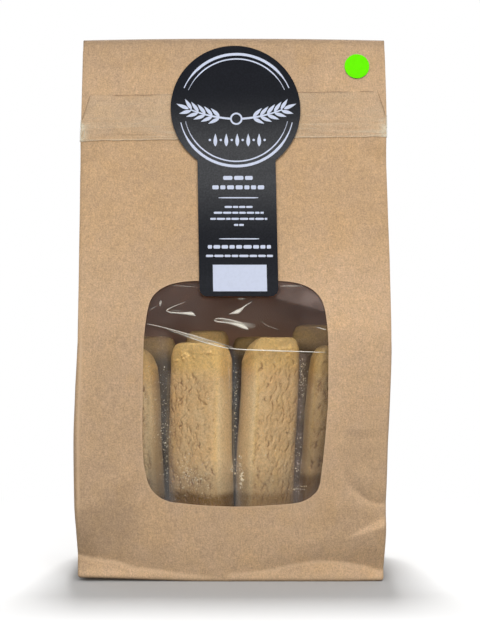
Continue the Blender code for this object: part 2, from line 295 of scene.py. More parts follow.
# How far the window's cut strays inwards at its left and right, as heights and shifts, and along its
# foot, as places across and shifts, in millimetres.
WINDOW_STRAY = (((33, -0.3), (36.2, -0.5), (39.4, -0.4), (44, 0.0), (105.5, 0.0), (110.4, -0.4), (113.7, -1.0),
                 (118, -1.1)),
                ((33, -0.9), (36.5, -0.8), (39.4, -0.1), (42.6, 0.75), (46, 1.15), (50, 1.25), (54, 1.15),
                 (58.7, 0.92), (65, 0.5), (72, 0.0), (105.5, 0.0), (110.4, -0.4), (113.7, -0.7), (118, -0.8)),
                ((-28, 0.0), (-24.6, 0.2), (-20.6, 0.57), (-16.6, 0.52), (-12.5, 0.36), (-8.5, 0.16), (-4.4, 0.0),
                 (0, -0.17), (7, -0.15), (11.7, 0.04), (15.8, 0.32), (21, 0.36), (25, 0.25), (28, 0.0)))


def window_value(x, z):
    """Below 1 inside the window, above 1 outside it."""
    rise = (z - WINDOW_CENTRE[1]) / WINDOW_HALF[1]
    rise = rise - along(x, WINDOW_STRAY[2]) / WINDOW_HALF[1] * ease(-2 * rise)
    across = x - WINDOW_CENTRE[0] - WINDOW_DRIFT * (z - WINDOW_CENTRE[1])
    stray = np.where(across < 0, along(z, WINDOW_STRAY[0]), along(z, WINDOW_STRAY[1]))
    across = (np.abs(across) + stray * ease(np.abs(across) / 0.015)) / WINDOW_HALF[0]
    return (np.abs(across) ** WINDOW_SQUARENESS + np.abs(rise) ** WINDOW_SQUARENESS) ** (1 / WINDOW_SQUARENESS)


# ------------------------------------------------------------ mesh helpers
def new_piece(name, points, faces, material, nodes=(), smooth=True):
    """A named mesh piece that rides on the frame's one body."""
    data = bpy.data.meshes.new(name)
    data.from_pydata([tuple(p) for p in np.asarray(points, float)], [], [tuple(int(i) for i in f) for f in faces])
    data.validate()
    item = bpy.data.objects.new(name, data)
    bpy.context.scene.collection.objects.link(item)
    data.materials.append(material)
    if smooth:
        data.shade_smooth()
    tidy_normals(item)
    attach(item, BODY)
    if nodes:
        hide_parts(*nodes)
    return item


def tidy_normals(item):
    mesh = bmesh.new()
    mesh.from_mesh(item.data)
    bmesh.ops.recalc_face_normals(mesh, faces=mesh.faces)
    mesh.to_mesh(item.data)
    mesh.free()


def thicken(item, thickness, offset=-1.0):
    """Gives an open sheet its thickness."""
    shell = item.modifiers.new("thickness", "SOLIDIFY")
    shell.thickness = thickness
    shell.offset = offset
    apply_modifiers(item)


def apply_modifiers(item):
    graph = bpy.context.evaluated_depsgraph_get()
    data = bpy.data.meshes.new_from_object(item.evaluated_get(graph))
    old = item.data
    item.modifiers.clear()
    item.data = data
    data.name = old.name
    bpy.data.meshes.remove(old)


def grid_faces(rows, columns, wrap=False):
    """Quads of a grid of points numbered row by row; wrap joins the last column to the first."""
    faces = []
    last = columns if wrap else columns - 1
    for r in range(rows - 1):
        for c in range(last):
            d = (c + 1) % columns
            faces.append((r * columns + c, r * columns + d, (r + 1) * columns + d, (r + 1) * columns + c))
    return faces


def paint(item, name, values):
    """A value from 0 to 1 at each point, for the material to read."""
    layer = item.data.attributes.get(name) or item.data.attributes.new(name, "FLOAT", "POINT")
    layer.data.foreach_set("value", np.asarray(values, np.float32))


def sharpen(item, angle):
    item.data.set_sharp_from_angle(angle=math.radians(angle))


# ------------------------------------------------------------ material helpers
class Tree:
    """A material's node tree, with short calls for the nodes used here."""

    def __init__(self, name):
        self.material = bpy.data.materials.new(name)
        self.material.use_nodes = True
        self.nodes = self.material.node_tree.nodes
        self.links = self.material.node_tree.links
        self.nodes.clear()
        self.output = self.nodes.new("ShaderNodeOutputMaterial")

    def add(self, kind, **settings):
        node = self.nodes.new(kind)
        for key, value in settings.items():
            setattr(node, key, value)
        return node

    def link(self, source, target):
        self.links.new(source, target)

    def put(self, target, value):
        """Sets a socket's value, or links a socket to it."""
        if isinstance(value, bpy.types.NodeSocket):
            self.link(value, target)
        elif isinstance(value, (tuple, list)) and len(value) == 3 and target.type == "RGBA":
            target.default_value = (*value, 1.0)
        else:
            target.default_value = value

    def place(self, stretch=(1.0, 1.0, 1.0), turn=(0.0, 0.0, 0.0)):
        """Coordinates in metres, stretched and turned."""
        where = self.add("ShaderNodeTexCoord")
        mapping = self.add("ShaderNodeMapping")
        mapping.inputs["Scale"].default_value = stretch
        mapping.inputs["Rotation"].default_value = turn
        self.link(where.outputs["Object"], mapping.inputs["Vector"])
        return mapping.outputs["Vector"]

    def noise(self, scale, detail=2.0, rough=0.5, vector=None, distortion=0.0):
        node = self.add("ShaderNodeTexNoise")
        node.inputs["Scale"].default_value = scale
        node.inputs["Detail"].default_value = detail
        node.inputs["Roughness"].default_value = rough
        node.inputs["Distortion"].default_value = distortion
        self.link(vector if vector is not None else self.place(), node.inputs["Vector"])
        return node.outputs["Fac"]

    def cells(self, scale, vector=None, feature="F1"):
        node = self.add("ShaderNodeTexVoronoi", feature=feature)
        node.inputs["Scale"].default_value = scale
        self.link(vector if vector is not None else self.place(), node.inputs["Vector"])
        return node.outputs["Distance"]

    def band(self, value, low, high, out_low=0.0, out_high=1.0, smooth=True):
        """Spreads a value between low and high onto another range."""
        node = self.add("ShaderNodeMapRange")
        node.interpolation_type = "SMOOTHSTEP" if smooth else "LINEAR"
        for name, number in (("From Min", low), ("From Max", high), ("To Min", out_low), ("To Max", out_high)):
            node.inputs[name].default_value = number
        self.put(node.inputs["Value"], value)
        return node.outputs["Result"]

    def math(self, operation, a, b=0.0, clamp=False):
        node = self.add("ShaderNodeMath", operation=operation, use_clamp=clamp)
        self.put(node.inputs[0], a)
        self.put(node.inputs[1], b)
        return node.outputs["Value"]

    def blend(self, share, a, b, kind="MIX"):
        node = self.add("ShaderNodeMix", data_type="RGBA", blend_type=kind)
        self.put(node.inputs["Factor"], share)
        self.put(node.inputs[6], a)
        self.put(node.inputs[7], b)
        return node.outputs[2]

    def read(self, name):
        return self.add("ShaderNodeAttribute", attribute_name=name).outputs["Fac"]

    def height(self):
        """Height above the base, in metres."""
        where = self.add("ShaderNodeTexCoord")
        split = self.add("ShaderNodeSeparateXYZ")
        self.link(where.outputs["Object"], split.inputs["Vector"])
        return split.outputs["Z"]

    def across(self):
        where = self.add("ShaderNodeTexCoord")
        split = self.add("ShaderNodeSeparateXYZ")
        self.link(where.outputs["Object"], split.inputs["Vector"])
        return split.outputs["X"]

    def bump(self, value, distance, strength=1.0, under=None):
        node = self.add("ShaderNodeBump")
        node.inputs["Strength"].default_value = strength
        node.inputs["Distance"].default_value = distance
        self.put(node.inputs["Height"], value)
        if under is not None:
            self.link(under, node.inputs["Normal"])
        return node.outputs["Normal"]

    def surface(self, colour, rough, normal=None, **sockets):
        """The Principled shader."""
        node = self.add("ShaderNodeBsdfPrincipled")
        self.put(node.inputs["Base Color"], colour)
        self.put(node.inputs["Roughness"], rough)
        if normal is not None:
            self.link(normal, node.inputs["Normal"])
        for key, value in sockets.items():
            self.put(node.inputs[key.replace("_", " ")], value)
        return node.outputs["BSDF"]

    def clear(self, tint=(1.0, 1.0, 1.0)):
        node = self.add("ShaderNodeBsdfTransparent")
        self.put(node.inputs["Color"], tint)
        return node.outputs["BSDF"]

    def mixed(self, share, a, b):
        node = self.add("ShaderNodeMixShader")
        self.put(node.inputs["Fac"], share)
        self.link(a, node.inputs[1])
        self.link(b, node.inputs[2])
        return node.outputs["Shader"]

    def done(self, shader):
        self.link(shader, self.output.inputs["Surface"])
        return self.material


# ------------------------------------------------------------ settings
class BagSettings(bpy.types.PropertyGroup):
    paper_colour: bpy.props.FloatVectorProperty(
        name="Paper", description="Colour of the kraft paper", subtype="COLOR", size=3, min=0.0, max=1.0,
        default=(0.560, 0.378, 0.231))
    inside_colour: bpy.props.FloatVectorProperty(
        name="Inside", description="Colour of the paper inside the bag", subtype="COLOR", size=3, min=0.0,
        max=1.0, default=(0.72, 0.42, 0.27))
    paper_grain: bpy.props.FloatProperty(
        name="Grain", description="Strength of the paper's speckle", default=0.17, min=0.0, max=1.0,
        subtype="FACTOR")
    column: bpy.props.FloatProperty(
        name="Column width", description="Width of the front panel's mesh cells", default=0.00100,
        min=0.0004, max=0.01, unit="LENGTH")


class LabelSettings(bpy.types.PropertyGroup):
    black: bpy.props.FloatVectorProperty(
        name="Label", description="Colour of the label", subtype="COLOR", size=3, min=0.0, max=1.0,
        default=(0.0082, 0.0095, 0.0138))
    ink: bpy.props.FloatVectorProperty(
        name="Ink", description="Colour of the print on the label", subtype="COLOR", size=3, min=0.0,
        max=1.0, default=(0.655, 0.705, 0.855))
    green: bpy.props.FloatVectorProperty(
        name="Dot", description="Colour of the small round sticker", subtype="COLOR", size=3, min=0.0,
        max=1.0, default=(0.155, 0.975, 0.004))


class BiscuitSettings(bpy.types.PropertyGroup):
    crumb: bpy.props.FloatVectorProperty(
        name="Crumb", description="Colour of the pale shortbread", subtype="COLOR", size=3, min=0.0,
        max=1.0, default=(0.78, 0.547, 0.280))
    golden: bpy.props.FloatVectorProperty(
        name="Golden", description="Colour of its golden edges", subtype="COLOR", size=3, min=0.0,
        max=1.0, default=(0.97, 0.64, 0.235))
    # the dark brown of the feet: baked brown, and painted shade below it
    browned: bpy.props.FloatVectorProperty(
        name="Browned", description="Colour of its browned feet", subtype="COLOR", size=3, min=0.0,
        max=1.0, default=(0.268, 0.137, 0.032))
    cell: bpy.props.FloatProperty(
        name="Cell", description="Size of the biscuits' mesh cells on the front", default=0.00027,
        min=0.0002, max=0.005, unit="LENGTH")


class StageSettings(bpy.types.PropertyGroup):
    lens: bpy.props.FloatProperty(
        name="Lens", description="The camera's focal length", default=69.75, min=10.0, max=300.0,
        unit="CAMERA")
    key: bpy.props.FloatProperty(
        name="Key light", description="Power of the light above the front", default=5.8, min=0.0, max=500.0,
        unit="POWER")
    fill: bpy.props.FloatProperty(
        name="Side lights", description="Power of each light beside the camera", default=5.4, min=0.0,
        max=500.0, unit="POWER")
    overhead: bpy.props.FloatProperty(
        name="Overhead light", description="Power of the light above and behind", default=25.0, min=0.0,
        max=500.0, unit="POWER")
    dome: bpy.props.FloatProperty(
        name="Room", description="Brightness of the pale room above", default=0.76, min=0.0, max=10.0)
    below: bpy.props.FloatProperty(
        name="Bounce", description="Brightness that comes back from below", default=0.10, min=0.0, max=10.0)


# ------------------------------------------------------------ paper bag
def kraft_material(settings):
    t = Tree("kraft_paper")
    colour = tuple(settings.paper_colour)
    grain = t.noise(1750.0, 2.0, 0.7)
    fibre = t.noise(1.0, 3.0, 0.6, t.place((1500.0, 1500.0, 480.0), (0.0, 0.5, 0.0)))
    cross = t.noise(1.0, 3.0, 0.6, t.place((420.0, 1300.0, 1400.0), (0.0, -0.35, 0.0)))
    cloud = t.noise(170.0, 4.0, 0.65)
    broad = t.noise(22.0, 3.0, 0.55)
    k = settings.paper_grain
    shade = t.band(grain, 0.25, 0.75, 1 - k * 1.4, 1 + k * 1.4, smooth=False)
    shade = t.math("MULTIPLY", shade, t.band(fibre, 0.25, 0.75, 1 - k * 0.6, 1 + k * 0.6, smooth=False))
    shade = t.math("MULTIPLY", shade, t.band(cross, 0.25, 0.75, 1 - k * 0.4, 1 + k * 0.4, smooth=False))
    shade = t.math("MULTIPLY", shade, t.band(cloud, 0.25, 0.75, 0.93, 1.07, smooth=False))
    shade = t.math("MULTIPLY", shade, t.band(broad, 0.3, 0.7, 0.965, 1.035, smooth=False))
    base = t.blend(1.0, colour, shade, "MULTIPLY")
    # the sheet is a little more orange in some places than in others, most of all under the tape
    z = t.height()
    warm = t.math("MULTIPLY", t.band(z, 0.118, 0.150, 0.0, 1.0), t.band(z, 0.1800, 0.1815, 1.0, 0.25))
    warm = t.math("ADD", t.math("MULTIPLY", warm, 0.75), t.band(t.noise(45.0, 3.0, 0.6), 0.50, 0.70, 0.0, 0.6), clamp=True)
    base = t.blend(warm, base, t.blend(1.0, base, (1.0, 0.965, 0.885), "MULTIPLY"))
    flecks = t.band(t.noise(760.0, 1.0, 0.5), 0.715, 0.775, 0.0, 0.38)
    base = t.blend(flecks, base, tuple(c * 0.55 for c in colour))
    pale = t.band(t.noise(900.0, 1.0, 0.5, t.place((1.0, 1.0, 0.4), (0.0, 0.8, 0.0))), 0.68, 0.78, 0.0, 0.40)
    base = t.blend(pale, base, tuple(min(c * 1.30, 1.0) for c in colour))
    patches = t.band(t.noise(130.0, 3.0, 0.6, t.place((1.0, 1.0, 0.8), (0.3, 0.0, 0.0))), 0.34, 0.66)
    base = t.blend(patches, base, t.blend(1.0, base, (1.012, 1.0, 0.950), "MULTIPLY"))
    # painted light and shade, from the tone values
    base = t.blend(1.0, base, t.band(t.read("tone"), 0.0, 1.0, 0.75, 1.25, smooth=False), "MULTIPLY")
    # painted highlights along folds and edges
    base = t.blend(t.read("wear_and_highlight"), base, tuple(min(c * s, 1.0) for c, s in zip(colour, (1.22, 1.26, 1.28))))
    # painted shade under the folded top edge
    base = t.blend(t.read("top_fold_shade"), base, tuple(c * 0.20 for c in colour))
    base = t.blend(t.read("inside"), base, settings.inside_colour[:])
    relief_value = t.math("ADD", grain, t.math("MULTIPLY", fibre, 0.8))
    normal = t.bump(relief_value, 0.00009, 0.7)
    rough = t.band(cloud, 0.3, 0.7, 0.70, 0.84)
    return t.done(t.surface(base, rough, normal, Specular_IOR_Level=0.25, Sheen_Weight=0.04,
                            Sheen_Roughness=0.6))


def bag_heights():
    """Heights of the mesh rows: close where the paper is creased."""
    marks = []
    z = 0.0010
    while z < TOP - 0.0013:
        marks.append(z)
        if z < 0.036:
            z += 0.00072
        elif z < 0.048 or abs(z - WINDOW_CENTRE[1] - WINDOW_HALF[1]) < 0.008:
            z += 0.0010
        elif 0.163 < z < 0.182:
            z += 0.0011
        else:
            z += 0.0015
    return np.array(marks)


def corner_lift(x, y, z):
    """The left-hand front corner of the base doesn't quite reach the ground."""
    lift = 1.45 * MM * ease((-0.006 - x) / 0.058) * ease((0.008 - y) / 0.036)
    lift = lift + 0.25 * MM * ease((x - 0.044) / 0.018) * ease((0.008 - y) / 0.036)
    return lift * np.clip(1 - z / 0.020, 0.0, 1.0) ** 2


def top_arch(x, z):
    """The folded top edge is very slightly higher in the middle than at its ends."""
    arch = 1.00 - 0.72 * np.abs(np.asarray(x) / 0.062) ** 2.2
    return arch * MM * ease((z - 0.2010) / 0.0200)


def bag_ring(z, shares, sides, drop):
    """One closed loop round the bag. drop pulls the front and back faces together at the top."""
    step = sides
    y0, y1 = float(front(z)) + drop, float(back(z)) - drop
    if z > TOP - 0.0045:
        y1 += (FLAP_THICKNESS + 0.0003) * float(ease((z - TOP + 0.0045) / 0.0006))
    x0, x1 = float(left(z)), float(right(z))
    corner = min(CORNER, (y1 - y0) * 0.3)
    xs = x0 + corner + shares * (x1 - x0 - 2 * corner)
    loop = []
    ys = y0 + (relief(xs, np.full(xs.shape, z)))
    loop += list(zip(xs, ys))
    right_y, left_y = ys[-1], ys[0]

    def arc(cx, cy, start):
        return [(cx + corner * math.cos(math.radians(start + a)), cy + corner * math.sin(math.radians(start + a)))
                for a in (30, 60)]

    loop += arc(x1 - corner, right_y + corner, -90)
    low, high = right_y + corner, y1 - corner
    middle, half = (low + high) / 2, (high - low) / 2
    wave = 0.25 * MM * ripple(step * 2.5, 0.3, z * 60, 21) * float(ease(z / 0.02))
    if z > PRESSED:
        wave = -0.28 * MM * np.abs(np.sin(step * math.pi * 1.5))
    xr = x1 + side_offset(z, step, RIGHT_BULGE) + wave
    loop += list(zip(xr, middle + step * half))
    loop += arc(x1 - corner, y1 - corner, 0)
    coarse = shares[::-1][::3]
    xb = x0 + corner + coarse * (x1 - x0 - 2 * corner)
    bow = 0.35 * MM * ripple(xb * 30, 5.0, z * 22, 5) * float(ease(z / 0.02)) * float(ease((TOP - z) / 0.02))
    low_fold = 0.9 * MM * math.exp(-((z - 0.008) / 0.006) ** 2)
    yb = y1 + bow - low_fold * (0.6 + 0.4 * np.cos(xb * 60)) * float(ease(z / 0.004))
    loop += list(zip(xb, yb))
    loop += arc(x0 + corner, y1 - corner, 90)
    low, high = left_y + corner, y1 - corner
    middle, half = (low + high) / 2, (high - low) / 2
    wave = 0.25 * MM * ripple(step * 2.5, 9.3, z * 60, 22) * float(ease(z / 0.02))
    if z > PRESSED:
        wave = -0.28 * MM * np.abs(np.sin(step * math.pi * 1.5))
    xl = x0 - side_offset(z, step, LEFT_BULGE) - wave
    loop += list(zip(xl[::-1], (middle + step * half)[::-1]))
    loop += arc(x0 + corner, left_y + corner, 180)
    return np.array(loop)


def snapped_to_window(points, faces, front_columns, columns):
    """Opens the window: drops the faces inside it and moves the rim onto its outline."""
    x, z = points[:, 0], points[:, 2]
    is_front = (np.arange(len(points)) % columns) < front_columns
    value = np.where(is_front, window_value(x, z), 9.0)
    kept, dropped = [], set()
    for quad in faces:
        if np.mean([value[i] for i in quad]) < 1.0:
            dropped.update(quad)
        else:
            kept.append(quad)
    used = {i for quad in kept for i in quad}
    for i in dropped & used:
        for _ in range(12):
            here = float(window_value(points[i, 0], points[i, 2]))
            h = 1e-5
            gx = (float(window_value(points[i, 0] + h, points[i, 2])) - here) / h
            gz = (float(window_value(points[i, 0], points[i, 2] + h)) - here) / h
            scale = (1.0 - here) / (gx * gx + gz * gz)
            points[i, 0] += gx * scale
            points[i, 2] += gz * scale
        points[i, 1] = float(face(points[i, 0], points[i, 2]))
    return kept


def drop_unused(points, faces):
    used = sorted({i for face_points in faces for i in face_points})
    order = {old: new for new, old in enumerate(used)}
    return points[used], [tuple(order[i] for i in face_points) for face_points in faces]


def build_paper(settings):
    """The kraft sheet round the bag, with its folds, its base and the window."""
    width = float(right(0.1) - left(0.1))
    count = int(width / settings.column) // 6 * 6 + 1
    shares = np.linspace(0.0, 1.0, count)
    sides = np.concatenate([np.linspace(-1, 1, 27)])[1:-1]
    rings = []
    for z, inset in ((0.0, 0.00035), (0.0004, 0.00008)):
        rings.append((z, inset))
    heights = list(bag_heights())
    loops, levels = [], []
    for z, inset in rings:
        loops.append(bag_ring(z, shares, sides, inset))
        levels.append(z)
    for z in heights:
        loops.append(bag_ring(z, shares, sides, 0.0))
        levels.append(z)
    radius = 0.0011
    for turn in (25, 50, 75, 90):
        drop = radius * (1 - math.cos(math.radians(turn)))
        z = TOP - radius + radius * math.sin(math.radians(turn))
        loops.append(bag_ring(z, shares, sides, drop))
        levels.append(z)
    columns = len(loops[0])
    points = np.concatenate([np.column_stack([loop, np.full(columns, z)]) for loop, z in zip(loops, levels)])
    faces = grid_faces(len(loops), columns, wrap=True)
    faces = snapped_to_window(points, faces, count, columns)
    points[:, 2] += corner_lift(*points.T) + top_arch(points[:, 0], points[:, 2])
    base = points[:columns]
    middle = base.mean(axis=0)
    inner = [base * (share, share, share) + middle * (1 - share, 1 - share, 0) for share in (0.97, 0.55, 0.12)]
    start = len(points)
    points = np.concatenate([points] + inner)
    for ring in range(len(inner)):
        low = 0 if ring == 0 else start + (ring - 1) * columns
        high = start + ring * columns
        for c in range(columns):
            d = (c + 1) % columns
            faces.append((low + d, low + c, high + c, high + d))
    faces.append(tuple(start + (len(inner) - 1) * columns + c for c in range(columns)))
    last = (len(loops) - 1) * columns
    faces.append(tuple(last + c for c in range(columns)))
    points, faces = drop_unused(points, faces)
    return points, faces


def flap_mesh():
    """The folded top that hangs down the back: a flat stack of paper with a wavy lower edge."""
    shares = np.linspace(0.0, 1.0, 90)
    heights = np.concatenate([np.linspace(TOP - FLAP_LENGTH, TOP - 0.003, 26)])
    loops = []
    for z in heights:
        x0, x1 = float(left(z)) + 0.0006, float(right(z)) - 0.0006
        xs = x0 + shares * (x1 - x0)
        hang = float(ease((TOP - z) / 0.03))
        lift = 0.45 * MM * hang * (0.5 + 0.5 * ripple(xs * 35, 0.0, z * 30, 31))
        inner = float(back(z)) + 0.0003 + lift
        ends = 1 - 0.5 * np.exp(-((z - (TOP - FLAP_LENGTH)) / 0.0006) ** 2)
        outer = inner + FLAP_THICKNESS * ends
        loops.append(np.concatenate([
            np.column_stack([xs, inner, np.full(xs.shape, z)]),
            np.column_stack([xs[::-1], outer[::-1], np.full(xs.shape, z)])]))
    rows, columns = len(loops), len(loops[0])
    points = np.concatenate(loops)
    low = points[:, 2] < TOP - FLAP_LENGTH + 0.0001
    points[low, 2] += 0.25 * MM * ripple(points[low, 0] * 60, 2.0, 0.0, 33)
    points[:, 2] += top_arch(points[:, 0], points[:, 2])
    faces = grid_faces(rows, columns, wrap=True)
    half = columns // 2
    for row in (0, rows - 1):
        base = row * columns
        for c in range(half - 1):
            faces.append((base + c, base + c + 1, base + columns - 2 - c, base + columns - 1 - c))
    return points, faces


def seam_mesh():
    """The glued overlap down the middle of the back: a long strip a paper's thickness proud."""
    heights = np.concatenate([[0.0007, 0.0016, 0.0035], np.linspace(0.006, TOP - FLAP_LENGTH - 0.004, 60)])
    rows = []
    for z in heights:
        centre = 0.004 + 0.0004 * float(ripple(z * 20, 0.0, 0.0, 41))
        rows.append([(centre + dx, z) for dx in (-0.0065, -0.0064, 0.0, 0.0064, 0.0065)])
    return rows


# Creases low on the right of the front panel, as points across and up in millimetres.
WEDGE_TOP = ((46.0, 17.4), (53.4, 21.9), (62.5, 26.6))
WEDGE_FOOT = ((46.0, 17.4), (56.0, 20.3), (62.5, 23.2))
SIDE_CREASE = ((44.0, 42.5), (47.7, 39.4), (56.0, 32.3), (63.0, 31.2))


class SHORTBREAD_OT_bag(bpy.types.Operator):
    """Makes the kraft paper bag with its folds, base, folded top and back seam"""
    bl_idname = "shortbread.bag"
    bl_label = "Paper bag"

    def execute(self, context):
        settings = context.scene.shortbread_bag
        paper = kraft_material(settings)
        points, faces = build_paper(settings)
        bag = new_piece("bag_paper", points, faces, paper, ["paper_bag"])
        thicken(bag, PAPER_STEP)
        sharpen(bag, 50)
        co = np.empty(len(bag.data.vertices) * 3)
        bag.data.vertices.foreach_get("co", co)
        co = co.reshape(-1, 3)
        x, y, z = co.T
        frontal = (y < front(z) + 0.0035).astype(float)
        # Painted highlights: lighter lines along the left-hand crease, the right-hand edge, the foot fold and the
        # base; also lighter along the window's cut edge.
        wear_and_highlight = 0.95 * np.exp(-((x - fold_line(z)) / 0.00042) ** 2) * frontal * ease((z - 0.02) / 0.02)
        wear_and_highlight = wear_and_highlight * ease((0.118 - z) / 0.01)
        wear_and_highlight = np.maximum(wear_and_highlight, 0.35 * np.exp(-((right(z) - x - 0.0003) / 0.0005) ** 2) * frontal * (z > 0.012))
        fold = along(x, FOOT_FOLD)
        wear_and_highlight = np.maximum(wear_and_highlight, 0.35 * np.exp(-((z - fold + 0.0006) / 0.0006) ** 2) * frontal)
        wear_and_highlight = np.maximum(wear_and_highlight, 0.30 * np.exp(-((z - 0.0010) / 0.0008) ** 2))
        rim = window_value(x, z)
        wear_and_highlight = np.maximum(wear_and_highlight, frontal * 0.5 * np.exp(-((rim - 1.0) / 0.006) ** 2))
        # Painted shade just under the folded top edge, where the paper curves back away from the light.
        below_edge = np.maximum(TOP + top_arch(x, z) - z, 0.0)
        top_fold_shade = np.exp(-(below_edge / 0.0006) ** 2) + 0.40 * np.exp(-below_edge / 0.0020)
        paint(bag, "wear_and_highlight", np.clip(wear_and_highlight, 0, 1))
        paint(bag, "top_fold_shade", np.clip(top_fold_shade, 0, 1))
        # Painted light and shade over the front panel, as tone values: lighter and more shaded patches, a painted
        # bright facet and painted dark facets along the creases low on the right, painted shade above the foot fold
        # on the left and a painted highlight along the base.
        mx, mz = x / MM, z / MM
        right_part = ease((mx - 5) / 30)
        tone = 0.075 * right_part * ease((142 - mz) / 10) * ease((mz - 60) / 15)
        tone += 0.060 * np.exp(-((mz - 105) / 13) ** 2) + 0.050 * right_part * np.exp(-((mz - 112) / 18) ** 2)
        tone -= 0.085 * ease((34 - mz) / 7) * ease((np.abs(mx) - 32) / 8) * ease((mz - 12) / 10)
        tone -= 0.110 * np.exp(-((mx + 61) / 5) ** 2) * ease((24 - mz) / 8)
        tone -= 0.065 * ease((-40 - mx) / 8) * np.exp(-((mz - 38) / 9) ** 2)
        tone -= 0.030 * np.exp(-((mz - 167) / 6) ** 2) * (1 - right_part)
        tone += 0.060 * ease((mx - 32) / 10) * ease((mz - 176) / 5) - 0.060 * ease((mz - 208) / 4)
        tone += 0.080 * np.exp(-((mx + 62) / 5) ** 2 - ((mz - 85) / 25) ** 2)
        tone -= 0.060 * np.exp(-((mx + 43) / 7) ** 2 - ((mz - 30) / 8) ** 2)
        tone -= 0.060 * np.exp(-((mx + 57) / 6) ** 2 - ((mz - 13) / 6) ** 2)
        tone += 0.060 * np.exp(-((mx - 41) / 5) ** 2) * ease((mz - 38) / 12) * ease((104 - mz) / 12)
        tone -= 0.040 * ease((-36 - mx) / 6) * np.exp(-((mz - 20) / 12) ** 2)
        tone -= 0.035 * np.exp(-((mx - 46) / 8) ** 2 - ((mz - 23) / 6) ** 2)
        tone -= 0.045 * np.exp(-((mx - 49) / 9) ** 2 - ((mz - 55) / 4) ** 2)
        tone -= 0.045 * np.exp(-((mx + 61) / 4) ** 2) * ease((mz - 155) / 8) * ease((204 - mz) / 8)
        tone += 0.110 * np.exp(-((mz - 2.5) / 2.2) ** 2) * ease((-28 - mx) / 10)
        upper, lower = np.interp(mx, *zip(*WEDGE_TOP)), np.interp(mx, *zip(*WEDGE_FOOT))
        wedge = ease((upper - mz) / 0.8 + 0.5) * ease((mz - lower) / 0.8 + 0.5) * ease((mx - 45.5) / 2)
        tone += 0.105 * wedge - 0.045 * np.exp(-np.abs(lower - mz) / 2.5) * (mz < lower) * ease((mx - 48) / 5)
        above = mz - np.interp(mx, *zip(*SIDE_CREASE))
        near = ease((mx - 46) / 3)
        tone += near * np.where(above > 0, -0.080 * np.exp(-above / 4.0), 0.045 * np.exp(above / 1.3))
        above = mz - fold / MM
        tone -= 0.060 * np.exp(-np.abs(above) / 2.0) * (above > 0) * ease((-38 - mx) / 10)
        tone += 0.200 * np.exp(-(mz / 0.9) ** 2)
        paint(bag, "tone", np.clip(0.5 + 2 * tone * frontal, 0, 1))
        inner = np.zeros(len(x))
        inner[len(x) // 2:] = 1.0
        paint(bag, "inside", inner)

        points, faces = flap_mesh()
        flap = new_piece("bag_folded_top", points, faces, paper, ["paper_bag"])
        sharpen(flap, 40)
        x, y, z = np.array([v.co for v in flap.data.vertices]).T
        # a lighter line along the flap's lower edge
        paint(flap, "wear_and_highlight", 0.6 * np.exp(-((z - TOP + FLAP_LENGTH) / 0.0008) ** 2))
        paint(flap, "top_fold_shade", np.zeros(len(x)))

        rows = seam_mesh()
        points = []
        for row in rows:
            for i, (px, pz) in enumerate(row):
                lift = 0.00032 if 0 < i < 4 else 0.0001
                bow = 0.35 * MM * float(ripple(px * 30, 5.0, pz * 22, 5)) * float(ease(pz / 0.02))
                low = 0.9 * MM * math.exp(-((pz - 0.008) / 0.006) ** 2) * (0.6 + 0.4 * math.cos(px * 60))
                points.append((px, float(back(pz)) + bow - low * float(ease(pz / 0.004)) + lift, pz))
        seam = new_piece("bag_back_seam", points, grid_faces(len(rows), 5), paper)
        thicken(seam, 0.0002)
        sharpen(seam, 40)
        paint(seam, "wear_and_highlight", np.zeros(len(seam.data.vertices)))
        paint(seam, "top_fold_shade", np.zeros(len(seam.data.vertices)))
        for piece in (flap, seam):
            paint(piece, "inside", np.zeros(len(piece.data.vertices)))
            paint(piece, "tone", np.full(len(piece.data.vertices), 0.5))
        return {"FINISHED"}


# ------------------------------------------------------------ window film
FILM_FRONT = 0.0008      # the film lies this far behind the front face


def film_y(x, z):
    """The film's face, gently crinkled."""
    x, z = np.asarray(x, float), np.asarray(z, float)
    crinkle = 0.22 * MM * layered(x * 55, 0.0, z * 75, 3, 51)
    inside = ease((1.0 - window_value(x, z)) / 0.08)
    return front(z) + relief(x, z) * (1 - inside) + FILM_FRONT + crinkle * inside + 0.10 * MM * inside


# Where a painted haze, tinted like the biscuit, stands in for the film blurring the lit edge of a biscuit behind
# it: across at 85 mm and 45 mm up, width, the heights it runs between, all in millimetres, and its strength.
SOFT_EDGES = ((0.75, 1.05, 0.55, 37, 70, 0.13), (-25.15, -26.0, 0.60, 47, 84, 0.10),
              (-28.7, -27.7, 0.50, 57, 77, 0.06), (30.75, 26.9, 0.60, 64, 88, 0.07))


